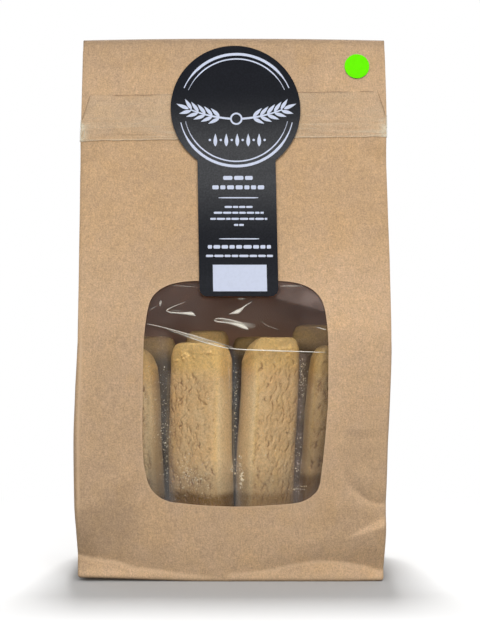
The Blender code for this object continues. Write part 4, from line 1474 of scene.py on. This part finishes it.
# The front fingers are dark brown below these heights: a baked brown end, with painted shade below it. FOOT_BROWN
# weakens it on one finger.
FOOT_HEIGHT = {"finger_front_1": 0.0338, "finger_front_2": 0.0350, "finger_front_3": 0.0352,
               "finger_front_4": 0.0425}
FOOT_BROWN = {"finger_front_3": 0.60}
# How deep the painted shade on each front finger is at its left and right: strength, width in millimetres, growth
# lower down.
EDGE_SHADE = {"finger_front_1": ((0.0, 1.0, 0.0), (0.70, 2.4, 0.5)),
              "finger_front_2": ((0.64, 1.3, 1.6), (0.38, 1.1, 0.0)),
              "finger_front_3": ((0.60, 1.6, 0.7), (0.62, 1.3, 0.6)),
              "finger_front_4": ((0.36, 1.5, 0.0), (0.0, 1.0, 0.0))}
# How far the bowed fingers stray sideways on the way up, as heights and shifts in millimetres.
BOWED = {"finger_front_1": ((0, 0.0), (43, -1.9), (59, -2.35), (67, -2.35), (75, -2.8), (82, -3.4), (87, -4.1),
                            (93, -4.6)),
         "finger_front_4": ((0, -0.5), (43, 0.9), (51, 1.4), (59, 1.8), (67, 2.3), (75, 3.1), (82, 3.9),
                            (87, 4.6), (94, 5.6))}
# Strength of the painted shade on the rightmost and leftmost front fingers at each height in millimetres.
RIGHT_DIM = ((0, 0.75), (30, 0.70), (43, 0.65), (51, 0.62), (59, 0.56), (67, 0.47), (75, 0.43), (94, 0.42))
LEFT_DIM = ((0, 0.80), (30, 0.80), (38, 0.74), (43, 0.62), (51, 0.44), (59, 0.30), (67, 0.19), (75, 0.12),
            (82, 0.03), (86.5, 0.06), (90, 0.34), (93, 0.42))


def biscuit_material(settings):
    t = Tree("shortbread")
    crumb, golden, browned = (tuple(c) for c in (settings.crumb, settings.golden, settings.browned))
    grain_value = t.noise(1150.0, 4.0, 0.7)
    mottle = t.noise(240.0, 3.0, 0.6, t.place((1.0, 1.0, 0.55)))
    broad = t.noise(60.0, 3.0, 0.55)
    base = t.blend(t.band(mottle, 0.35, 0.65, 0.0, 0.6), crumb,
                   tuple(c * s for c, s in zip(crumb, (0.94, 0.90, 0.87))))
    base = t.blend(t.band(broad, 0.42, 0.66, 0.0, 0.55), base,
                   tuple(c * s for c, s in zip(crumb, (1.03, 0.97, 0.90))))
    blush = t.band(t.noise(150.0, 3.0, 0.6, t.place((1.0, 1.0, 0.7), (0.4, 0.0, 0.0))), 0.36, 0.64)
    base = t.blend(blush, base, t.blend(1.0, base, (1.02, 0.975, 0.91), "MULTIPLY"))
    gold = t.math("MULTIPLY", t.read("golden"), t.band(mottle, 0.25, 0.60, 0.60, 1.0))
    base = t.blend(gold, base, golden)
    base = t.blend(t.read("pale"), base, tuple(min(c * s, 1.0) for c, s in zip(crumb, (1.08, 1.14, 1.20))))
    # painted light and shade, from the light values
    tone = t.band(t.read("light"), 0.0, 1.0, 0.72, 1.28, smooth=False)
    base = t.blend(1.0, base, tone, "MULTIPLY")
    # dark brown feet: baked brown, and painted shade below it
    brown = t.math("MULTIPLY", t.read("browned"), t.band(mottle, 0.25, 0.62, 0.80, 1.0))
    base = t.blend(brown, base, browned)
    # painted shade in the cracks
    base = t.blend(t.math("MULTIPLY", t.read("crack"), 0.85, clamp=True), base,
                   tuple(c * s for c, s in zip(crumb, (0.42, 0.30, 0.24))))
    fine = t.band(grain_value, 0.25, 0.75, 0.76, 1.24, smooth=False)
    base = t.blend(1.0, base, fine, "MULTIPLY")
    # deep painted shade where the fingers lie in shadow
    base = t.blend(t.read("dim"), base, t.blend(1.0, base, (0.17, 0.155, 0.15), "MULTIPLY"))
    # painted shade in small pits
    pits = t.band(t.noise(800.0, 2.0, 0.6, t.place((1.0, 1.0, 0.6))), 0.62, 0.72, 0.0, 0.30)
    base = t.blend(pits, base, tuple(c * s for c, s in zip(crumb, (0.55, 0.42, 0.34))))
    specks = t.band(t.noise(1300.0, 1.0, 0.5), 0.66, 0.74, 0.0, 0.40)
    specks = t.math("MULTIPLY", specks, t.math("SUBTRACT", 1.0, t.read("dim")))
    base = t.blend(specks, base, tuple(min(c * s, 1.0) for c, s in zip(crumb, (1.15, 1.2, 1.35))))
    height = t.math("ADD", grain_value, t.math("MULTIPLY", mottle, 0.6))
    height = t.math("SUBTRACT", height, t.math("MULTIPLY", pits, 0.8))
    normal = t.bump(height, 0.00022, 0.85)
    return t.done(t.surface(base, 0.8, normal, Specular_IOR_Level=0.2))


def crack_field(across, up, width, bottom, top, seed):
    """Depth from 0 to 1 of many wandering cracks over a face, and a wider shallow dip along each."""
    rng = np.random.default_rng(seed)
    field, dip = np.zeros(across.shape), np.zeros(across.shape)
    column, row = 2.35 * MM, 3.5 * MM
    for i in range(int(width / column)):
        for j in range(int((top - bottom) / row)):
            x = (i + 0.5 * (j % 2) + float(rng.uniform(0.05, 0.95))) * column
            z = top - (j + float(rng.uniform(0.0, 1.0))) * row
            chance, strength = float(rng.random()), float(rng.random())
            steps, wide = int(rng.integers(4, 11)), float(rng.uniform(0.16, 0.30)) * MM
            turns = rng.normal(0.0, 0.95, steps)
            drops = rng.uniform(0.30, 0.75, steps)
            if chance > 0.85:
                continue
            strength = 0.35 + 0.65 * strength ** 1.3
            walk, lean = [(x, z)], float(turns[0])
            for k in range(steps):
                lean = max(-1.2, min(1.2, -0.35 * lean + float(turns[k])))
                walk.append((walk[-1][0] + lean * 0.50 * MM, walk[-1][1] - float(drops[k]) * MM))
            xs, zs = [p[0] for p in walk], [p[1] for p in walk]
            near = ((across > min(xs) - 2 * MM) & (across < max(xs) + 2 * MM)
                    & (up > min(zs) - 2 * MM) & (up < max(zs) + 2 * MM))
            if not near.any():
                continue
            ax, az = across[near], up[near]
            best, broad = np.zeros(ax.shape), np.zeros(ax.shape)
            for k in range(steps):
                distance, share = to_segment(ax, az, walk[k], walk[k + 1])
                taper = np.sin(np.pi * np.clip((k + share) / steps * 0.86 + 0.07, 0, 1)) ** 0.7
                best = np.maximum(best, strength * taper * np.exp(-(distance / wide) ** 2))
                broad = np.maximum(broad, strength * taper * np.exp(-(distance / (0.75 * MM)) ** 2))
            field[near] = np.maximum(field[near], best)
            dip[near] = np.maximum(dip[near], broad)
    return field, dip


def finger_outline(width, thickness, spacing):
    """Points round a squarish outline, spaced evenly by spacing(direction), with outward directions."""
    n = FINGER_SQUARENESS
    turns = np.linspace(0.0, 2 * np.pi, 6001)
    c, s = np.cos(turns), np.sin(turns)
    reach = (np.abs(c / (width / 2)) ** n + np.abs(s / (thickness / 2)) ** n) ** (-1 / n)
    x, y = reach * c, reach * s
    lengths = np.concatenate([[0.0], np.cumsum(np.hypot(np.diff(x), np.diff(y)))])
    marks, position = [], 0.0
    while position < lengths[-1] - spacing(x[0], y[0]) * 0.5:
        marks.append(position)
        index = min(int(np.searchsorted(lengths, position)), 6000)
        position += spacing(x[index], y[index])
    px, py = np.interp(marks, lengths, x), np.interp(marks, lengths, y)
    nx = np.sign(px) * np.abs(px / (width / 2)) ** (n - 1) / width
    ny = np.sign(py) * np.abs(py / (thickness / 2)) ** (n - 1) / thickness
    norm = np.hypot(nx, ny)
    return px, py, nx / norm, ny / norm


def finger_levels(height, fine, is_front):
    """Heights of a finger's rows: close where the window shows them."""
    levels, z = [], 0.0
    while z < height - 0.0001:
        levels.append(z)
        step = fine * 1.12
        if is_front and z < 0.024:
            step = fine * 2.4
        if not is_front and z < height - 0.030:
            step = fine * 3.0
        if z < 0.0015 or z > height - 0.006:
            step = min(step, fine * 0.85)
        z += step
    return np.array([*levels, height])


def finger_mesh(name, cell):
    """Points and faces of one biscuit, with values for its colouring and for its painted light and shade."""
    across, deep, turn, drift, width, thickness, height, swell = FINGER_ROWS[name]
    number, is_front = int(name[-1]), "front" in name
    main = is_front and number in (2, 3)
    fine = cell * (1.0 if main else 1.35 if is_front else 2.0)
    seed = 100 + number + (0 if is_front else 10)
    c, s = math.cos(math.radians(turn)), math.sin(math.radians(turn))
    limit = 0.0025 if is_front else -0.0035
    px, py, nx, ny = finger_outline(width, thickness,
                                    lambda a, b: fine if a * s + b * c < limit else fine * 3.2)
    columns = len(px)
    levels = finger_levels(height, fine, is_front)
    share = levels / height
    low, high = np.clip(levels / (0.055 * height), 0, 1), np.clip((height - levels) / (0.055 * height), 0, 1)
    grow = 1 - 0.25 * (1 - np.sqrt(1 - (1 - low) ** 2))
    drawn_in = 0.18 if main and number == 2 else 0.27
    grow = grow * (1 - drawn_in * (1 - np.sqrt(1 - (1 - high) ** 2))) * (1 + swell * (0.5 - share))
    flat_x, flat_y = px[None, :] * grow[:, None], py[None, :] * grow[:, None]
    zz = levels[:, None] * np.ones((1, columns))
    front_face = np.clip((-ny[None, :] - 0.50) / 0.35, 0, 1) * np.ones_like(flat_x)
    side_face = np.clip((np.abs(nx)[None, :] - 0.6) / 0.3, 0, 1) * np.ones_like(flat_x)

    # crumb: lumps, pebbles and grit, with wandering cracks and a crumbly upper edge
    qx, qy = flat_x + across * 3, flat_y + deep * 3
    rough = (0.35 + 0.65 * front_face) if is_front else 0.5
    push = 0.26 * MM * layered(qx * 170, qy * 170, zz * 80, 2, seed)
    pebbles = layered(qx * 620, qy * 620, zz * 480, 2, seed + 3)
    grit = ripple(qx * 1900, qy * 1900, zz * 1700, seed + 4)
    push = push + (0.11 * MM * pebbles + 0.06 * MM * grit) * rough
    crack = np.zeros_like(flat_x)
    light = crack + 0.5 + 0.07 * pebbles * rough
    if is_front:
        top_edge = height - (0.0088 if number == 2 else 0.0070)
        inside = ease((zz - 0.020) / 0.010) * ease((top_edge - zz) / 0.004) * front_face
        warp = 0.30 * MM * ripple(flat_x * 700, 0.0, zz * 600, seed + 21)
        crack, dip = crack_field(flat_x + width / 2 + warp, zz + warp, width, 0.030, top_edge, seed + 50)
        broken = 0.34 + 0.90 * ease(0.60 + 1.30 * ripple(flat_x * 1500, 0.0, zz * 1050, seed + 33))
        crack, dip = crack * inside * broken, dip * inside
        push = push - 0.50 * MM * crack - 0.20 * MM * dip
        # painted shade along each crack
        light = light - 0.12 * dip
        top_zone = (ease((zz - (height - 0.0092)) / 0.0022) * ease((height - 0.0022 - zz) / 0.002)
                    * front_face)
        clods = np.clip(layered(qx * 600, qy * 600, zz * 600, 2, seed + 5) * 1.9, -0.3, 1)
        patchy = 0.35 * ease(ripple(qx * 210, 4.0, zz * 210, seed + 6) * 1.6 + 0.45)
        if number == 2:
            shown = across + flat_x * c - flat_y * s
            for middle, up in ((-0.0183, 0.0902), (-0.0088, 0.0908)):
                patchy = np.maximum(patchy, np.exp(-((shown - middle) / 0.0034) ** 2 - ((zz - up) / 0.0024) ** 2))
        loose = clods * top_zone * patchy
        push = push + 1.0 * MM * loose
        # painted light on the loose clods
        light = light + 0.65 * loose
    elif number != 2:
        # painted shade over the back fingers but the second
        light = light - 0.1
    flat_x = flat_x + nx[None, :] * push
    flat_y = flat_y + ny[None, :] * push
    waver = 0.0003 * np.sin(9.0 * share + 40.0 * across)
    out = flat_x * c - flat_y * s
    fall = np.zeros_like(out)
    for side, (start, span, drop) in zip((-1, 1), SHOULDERS.get(name, ((-6, 4, 1.0), (6, 4, 1.0)))):
        beyond = np.clip(side * (out / MM - start) / span, 0, 1.6)
        fall = fall + drop * MM * beyond ** 1.7
    bow = along(levels, BOWED[name]) if name in BOWED else drift * share
    x = across + (bow + waver)[:, None] + out
    y = deep + flat_x * s + flat_y * c
    z = FINGER_BASE + zz - fall * ease((zz / height - 0.84) / 0.16)
    points = np.stack([x, y, z], axis=2).reshape(-1, 3)
    faces = grid_faces(len(levels), columns, wrap=True)

    # both ends are closed by rings that draw in to the middle
    for row, rise, flip in ((0, 0.0, True), (len(levels) - 1, 0.0003, False)):
        previous = np.arange(columns) + row * columns
        base = points[previous]
        middle = base.mean(axis=0)
        for shrink in (0.86, 0.62, 0.34, 0.08):
            bumpy = 0.25 * MM * layered(base[:, 0] * 500 * shrink, base[:, 1] * 500 * shrink, 0.0, 2, seed + 7)
            ring = middle + (base - middle) * shrink
            ring[:, 2] += rise * (1 - shrink ** 2) + bumpy * (rise > 0)
            here = np.arange(columns) + len(points)
            points = np.concatenate([points, ring])
            for i in range(columns):
                j = (i + 1) % columns
                quad = (previous[i], previous[j], here[j], here[i])
                faces.append(quad[::-1] if flip else quad)
            previous = here
        faces.append(tuple(previous[::-1] if flip else previous))

    corner = np.exp(-((np.abs(nx) - np.abs(ny) - 0.1) / 0.40) ** 2) * (ny < 0)
    clumps = 0.5 + 0.5 * layered(qx * 260, qy * 260, zz * 130, 2, seed + 13)
    # painted light and shade: shade at the corner between face and side and over the upper part, light on the side
    # faces
    if is_front:
        light = light - 0.19 * corner[None, :] * front_face * np.where((nx > 0) & (number == 2), 0.1, 1.0)[None, :]
    upper = ease((zz - (height - 0.0165)) / 0.008)
    if is_front:
        light = light - (0.16 if number == 2 else 0.06) * upper
        light = light + (0.10 if number == 2 else 0.06 if number == 3 else 0.0) * side_face
    golden = (1.10 if number == 2 else 0.95) * upper * (0.62 + 0.55 * clumps)
    golden = np.maximum(golden, corner[None, :] * (0.25 + 0.85 * clumps) * ease((zz - 0.03) / 0.03))
    golden = np.maximum(golden, 0.30 * ease((clumps - 0.62) / 0.2))
    pale = (1.0 if number == 1 else side_face) * 0.9 * ease((height - 0.012 - zz) / 0.01) * np.ones_like(out)
    # dark brown feet, baked brown with painted shade below
    edge = FOOT_HEIGHT.get(name, 0.02) - 0.0002 + 0.0009 * ripple(qx * 130, qy * 130, 0.0, seed + 15)
    edge = edge + (0.16 * (out + 0.006) if number == 4 and is_front else 0.0)
    browned = FOOT_BROWN.get(name, 0.95) * ease((edge + 0.0006 - zz) / 0.0032)
    # painted shade and a brown band at the top of the third finger
    if number == 3 and is_front:
        browned = np.maximum(browned, 0.20 * np.exp(-((zz - height + 0.0068) / 0.0026) ** 2)
                             * (0.5 + 0.8 * clumps))
        light = light - 0.34 * ease((zz - height + 0.0045) / 0.0030) - 0.08 * ease((zz - height + 0.016) / 0.006)
    # painted shade: the back row below its tops, the front row along its edges and low down
    dim = np.zeros_like(out)
    if not is_front:
        dim = (0.45, 0.27, 0.70, 0.34)[number - 1] + 0.50 * ease((height - 0.004 - zz) / 0.008) + dim
    else:
        lower = ease((0.078 - zz) / 0.034)
        gaps = (out - out.min(axis=1, keepdims=True)) / MM, (out.max(axis=1, keepdims=True) - out) / MM
        for gap, (strength, wide, growth) in zip(gaps, EDGE_SHADE[name]):
            faded = strength * (1 - 0.35 * (1 - lower) * (growth > 1)) * np.exp(-gap / (wide * (1 + growth * lower)))
            dim = np.maximum(dim, faded)
        dim = dim * ease((height - 0.002 - zz) / 0.006)
        dim = dim + (1 - dim) * 0.37 * ease((0.0490 - zz) / 0.0140)
    # painted shade low on the leftmost finger, and painted light at its outer edge
    if is_front and number == 1:
        outer = ease((-0.0330 - across - bow[:, None] - out) / 0.0016)
        dim = np.maximum(dim, along(zz, LEFT_DIM) / MM * (1 - 0.32 * outer))
        light = light + 0.22 * outer * ease((0.088 - zz) / 0.004)
    # painted shade over the rightmost finger, deeper at its right
    if is_front and number == 4:
        seen = across + bow[:, None] + out
        dim = np.maximum(dim, along(zz, RIGHT_DIM) / MM + 0.08 * ease((seen - 0.0345 - 0.06 * (zz - 0.075)) / 0.002))
    values = {"golden": golden, "pale": pale, "browned": browned, "crack": crack, "light": light, "dim": dim}
    caps = {"golden": (0, 0.6), "pale": (0, 0), "browned": (1, 0), "crack": (0, 0), "light": (0.5, 0.4),
            "dim": (0, 0 if is_front else 0.2)}
    half = 4 * columns
    for key, (bottom, top) in caps.items():
        values[key] = np.clip(np.concatenate([values[key].ravel(), np.full(half, bottom), np.full(half, top)]), 0, 1)
    return points, faces, values


class SHORTBREAD_OT_fingers(bpy.types.Operator):
    """Makes the eight shortbread fingers with their crumb, cracks, dark brown feet and painted light and shade"""
    bl_idname = "shortbread.fingers"
    bl_label = "Shortbread fingers"

    def execute(self, context):
        settings = context.scene.shortbread_biscuit
        dough = biscuit_material(settings)
        for name in FINGERS:
            points, faces, values = finger_mesh(name, settings.cell)
            piece = new_piece(name.replace("finger", "shortbread"), points, faces, dough, [name])
            for key, value in values.items():
                paint(piece, key, value)
        return {"FINISHED"}


# ------------------------------------------------------------ crumbs
def crumb_material():
    t = Tree("crumbs")
    tone = t.noise(420.0, 2.0, 0.5)
    colour = t.blend(t.band(tone, 0.35, 0.65), (0.86, 0.74, 0.52), (0.74, 0.57, 0.33))
    return t.done(t.surface(colour, 0.8, t.bump(t.noise(2500.0, 2.0, 0.6), 0.00008, 0.7), Specular_IOR_Level=0.25))


# Where crumbs cling to the film: centre across and up, spread across and up, in millimetres, then the
# count and how large they are.
CLINGING = ((-17.5, 44.5, 2.6, 5.5, 150, 1.0), (-14.5, 40.5, 5.5, 4.5, 90, 1.0), (4.2, 42.0, 0.8, 5.0, 60, 1.7),
            (1.2, 45.5, 1.4, 2.6, 26, 1.2), (-27.0, 62.0, 2.4, 20.0, 170, 1.0), (28.8, 84.0, 1.3, 7.0, 90, 1.0),
            (26.8, 50.0, 1.8, 13.0, 50, 1.0), (-11.0, 62.0, 8.0, 16.0, 50, 1.0), (14.0, 60.0, 8.0, 18.0, 50, 1.0),
            (1.5, 72.0, 1.2, 14.0, 80, 1.0), (26.4, 37.3, 2.4, 0.4, 30, 0.9), (29.2, 38.5, 1.8, 0.4, 16, 0.8),
            (-32.0, 70.0, 2.5, 18.0, 50, 1.0))


class SHORTBREAD_OT_crumbs(bpy.types.Operator):
    """Makes the loose crumbs that cling to the film and lie on the bag's floor"""
    bl_idname = "shortbread.crumbs"
    bl_label = "Crumbs"

    def execute(self, context):
        rng = np.random.default_rng(77)
        stone = bmesh.new()
        bmesh.ops.create_icosphere(stone, subdivisions=1, radius=1.0)
        stone.verts.index_update()
        shape = np.array([v.co for v in stone.verts])
        sides = [[v.index for v in f.verts] for f in stone.faces]
        stone.free()
        spots = []
        for cx, cz, wide, tall, count, scale in CLINGING:
            for _ in range(count):
                x, z = rng.normal(cx, wide * 0.6) * MM, rng.normal(cz, tall * 0.6) * MM
                if float(window_value(x, z)) > 0.99:
                    continue
                size = float(np.clip(rng.lognormal(-1.95, 0.42), 0.06, 0.30)) * MM * scale
                spots.append((x, float(film_y(x, z)) + 0.00012 + size * 0.5, z, size))
        for _ in range(90):
            x, y = rng.uniform(-0.055, 0.055), rng.uniform(-0.0295, -0.0290)
            size = float(rng.uniform(0.2, 0.7)) * MM
            spots.append((x, y, 0.0009 + size * 0.6, size))
        points, faces = [], []
        for x, y, z, size in spots:
            start = len(points)
            stretch = rng.uniform(0.6, 1.15, 3)
            turn = np.array(Euler(tuple(rng.uniform(0, 6.28, 3))).to_matrix())
            lumpy = shape * (1 + rng.normal(0, 0.16, (len(shape), 1)))
            body = (lumpy * stretch * size) @ turn.T
            points += [(x + p[0], y + p[1] * 0.6, z + p[2]) for p in body]
            faces += [tuple(i + start for i in f) for f in sides]
        new_piece("crumbs", points, faces, crumb_material(), smooth=False)
        return {"FINISHED"}


# ------------------------------------------------------------ stage
def aimed(name, place, target, size, power, colour=(1.0, 1.0, 1.0)):
    data = bpy.data.lights.new(name, "AREA")
    data.shape = "SQUARE"
    data.size = size
    data.energy = power
    data.color = colour
    lamp = bpy.data.objects.new(name, data)
    lamp.location = place
    lamp.rotation_euler = (Vector(target) - Vector(place)).to_track_quat("-Z", "Y").to_euler()
    bpy.context.scene.collection.objects.link(lamp)
    return lamp


class SHORTBREAD_OT_stage(bpy.types.Operator):
    """Makes the pale floor, the soft lights and the camera"""
    bl_idname = "shortbread.stage"
    bl_label = "Floor, lights and camera"

    def execute(self, context):
        settings = context.scene.shortbread_stage
        scene = context.scene
        scene.view_settings.view_transform = "Standard"
        world = bpy.data.worlds.new("pale_room")
        world.use_nodes = True
        sky_tree = world.node_tree
        backdrop = sky_tree.nodes["Background"]
        backdrop.inputs["Color"].default_value = (1.0, 1.0, 1.0, 1.0)
        where = sky_tree.nodes.new("ShaderNodeTexCoord")
        split = sky_tree.nodes.new("ShaderNodeSeparateXYZ")
        dome = sky_tree.nodes.new("ShaderNodeMapRange")
        dome.interpolation_type = "SMOOTHSTEP"
        for key, number in (("From Min", -0.05), ("From Max", 0.50), ("To Min", settings.below),
                            ("To Max", settings.dome)):
            dome.inputs[key].default_value = number
        seen = sky_tree.nodes.new("ShaderNodeLightPath")
        pick = sky_tree.nodes.new("ShaderNodeMix")
        sky_tree.links.new(where.outputs["Generated"], split.inputs["Vector"])
        sky_tree.links.new(split.outputs["Z"], dome.inputs["Value"])
        sky_tree.links.new(seen.outputs["Is Camera Ray"], pick.inputs[0])
        sky_tree.links.new(dome.outputs["Result"], pick.inputs[2])
        pick.inputs[3].default_value = 1.0
        sky_tree.links.new(pick.outputs[0], backdrop.inputs["Strength"])
        scene.world = world

        mesh = bmesh.new()
        bmesh.ops.create_circle(mesh, cap_ends=True, segments=96, radius=6.0)
        data = bpy.data.meshes.new("floor")
        mesh.to_mesh(data)
        mesh.free()
        floor = bpy.data.objects.new("floor", data)
        scene.collection.objects.link(floor)
        t = Tree("pale_floor")
        where = t.add("ShaderNodeTexCoord")
        reach = t.add("ShaderNodeVectorMath", operation="LENGTH")
        t.link(where.outputs["Object"], reach.inputs[0])
        glow = t.add("ShaderNodeEmission")
        glow.inputs["Color"].default_value = (1.0, 1.0, 1.0, 1.0)
        near = t.surface((0.45, 0.45, 0.45), 0.9, None, Specular_IOR_Level=0.0)
        t.done(t.mixed(t.band(reach.outputs["Value"], 0.10, 0.24), near, glow.outputs["Emission"]))
        data.materials.append(t.material)
        floor.visible_diffuse = False

        target = (0.0, 0.0, 0.11)
        aimed("key", (0.10, -0.80, 0.92), (0.0, 0.0, 0.12), 0.6, settings.key)
        aimed("fill_left", (-0.95, -1.70, 0.55), target, 0.5, settings.fill)
        aimed("fill_right", (0.95, -1.70, 0.55), target, 0.5, settings.fill)
        aimed("overhead", (0.0, 0.28, 1.30), (0.0, 0.0, 0.0), 0.20, settings.overhead)

        camera = bpy.data.objects.new("camera", bpy.data.cameras.new("camera"))
        camera.data.lens = settings.lens
        camera.data.sensor_width = 36.0
        camera.location = (0.00363, -0.532, 0.1056)
        camera.rotation_euler = (math.radians(90), 0.0, 0.0)
        scene.collection.objects.link(camera)
        scene.camera = camera
        return {"FINISHED"}


# ------------------------------------------------------------ add-on
class SHORTBREAD_PT_panel(bpy.types.Panel):
    """Lists the makers of the window bag's pieces"""
    bl_label = "Shortbread window bag"
    bl_idname = "SHORTBREAD_PT_panel"
    bl_space_type = "VIEW_3D"
    bl_region_type = "UI"
    bl_category = "Shortbread"

    def draw(self, context):
        for title, settings, makers in (
                ("Bag", context.scene.shortbread_bag, (SHORTBREAD_OT_bag, SHORTBREAD_OT_film, SHORTBREAD_OT_tape)),
                ("Label", context.scene.shortbread_label, (SHORTBREAD_OT_label,)),
                ("Biscuits", context.scene.shortbread_biscuit, (SHORTBREAD_OT_fingers, SHORTBREAD_OT_crumbs)),
                ("Stage", context.scene.shortbread_stage, (SHORTBREAD_OT_stage,))):
            box = self.layout.box()
            box.label(text=title)
            for key in settings.__annotations__:
                box.prop(settings, key)
            for maker in makers:
                box.operator(maker.bl_idname)


SETTINGS = (("shortbread_bag", BagSettings), ("shortbread_label", LabelSettings),
            ("shortbread_biscuit", BiscuitSettings), ("shortbread_stage", StageSettings))
CLASSES = (BagSettings, LabelSettings, BiscuitSettings, StageSettings, SHORTBREAD_OT_stage, SHORTBREAD_OT_bag,
           SHORTBREAD_OT_film, SHORTBREAD_OT_label, SHORTBREAD_OT_tape, SHORTBREAD_OT_fingers,
           SHORTBREAD_OT_crumbs, SHORTBREAD_PT_panel)


def register():
    for made in CLASSES:
        bpy.utils.register_class(made)
    for name, kind in SETTINGS:
        setattr(bpy.types.Scene, name, bpy.props.PointerProperty(type=kind))


def unregister():
    for name, _kind in SETTINGS:
        delattr(bpy.types.Scene, name)
    for made in reversed(CLASSES):
        bpy.utils.unregister_class(made)


def main():
    register()
    bpy.ops.shortbread.stage()
    bpy.ops.shortbread.bag()
    bpy.ops.shortbread.film()
    bpy.ops.shortbread.label()
    bpy.ops.shortbread.tape()
    bpy.ops.shortbread.fingers()
    bpy.ops.shortbread.crumbs()
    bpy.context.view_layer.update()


if __name__ == "__main__":
    main()
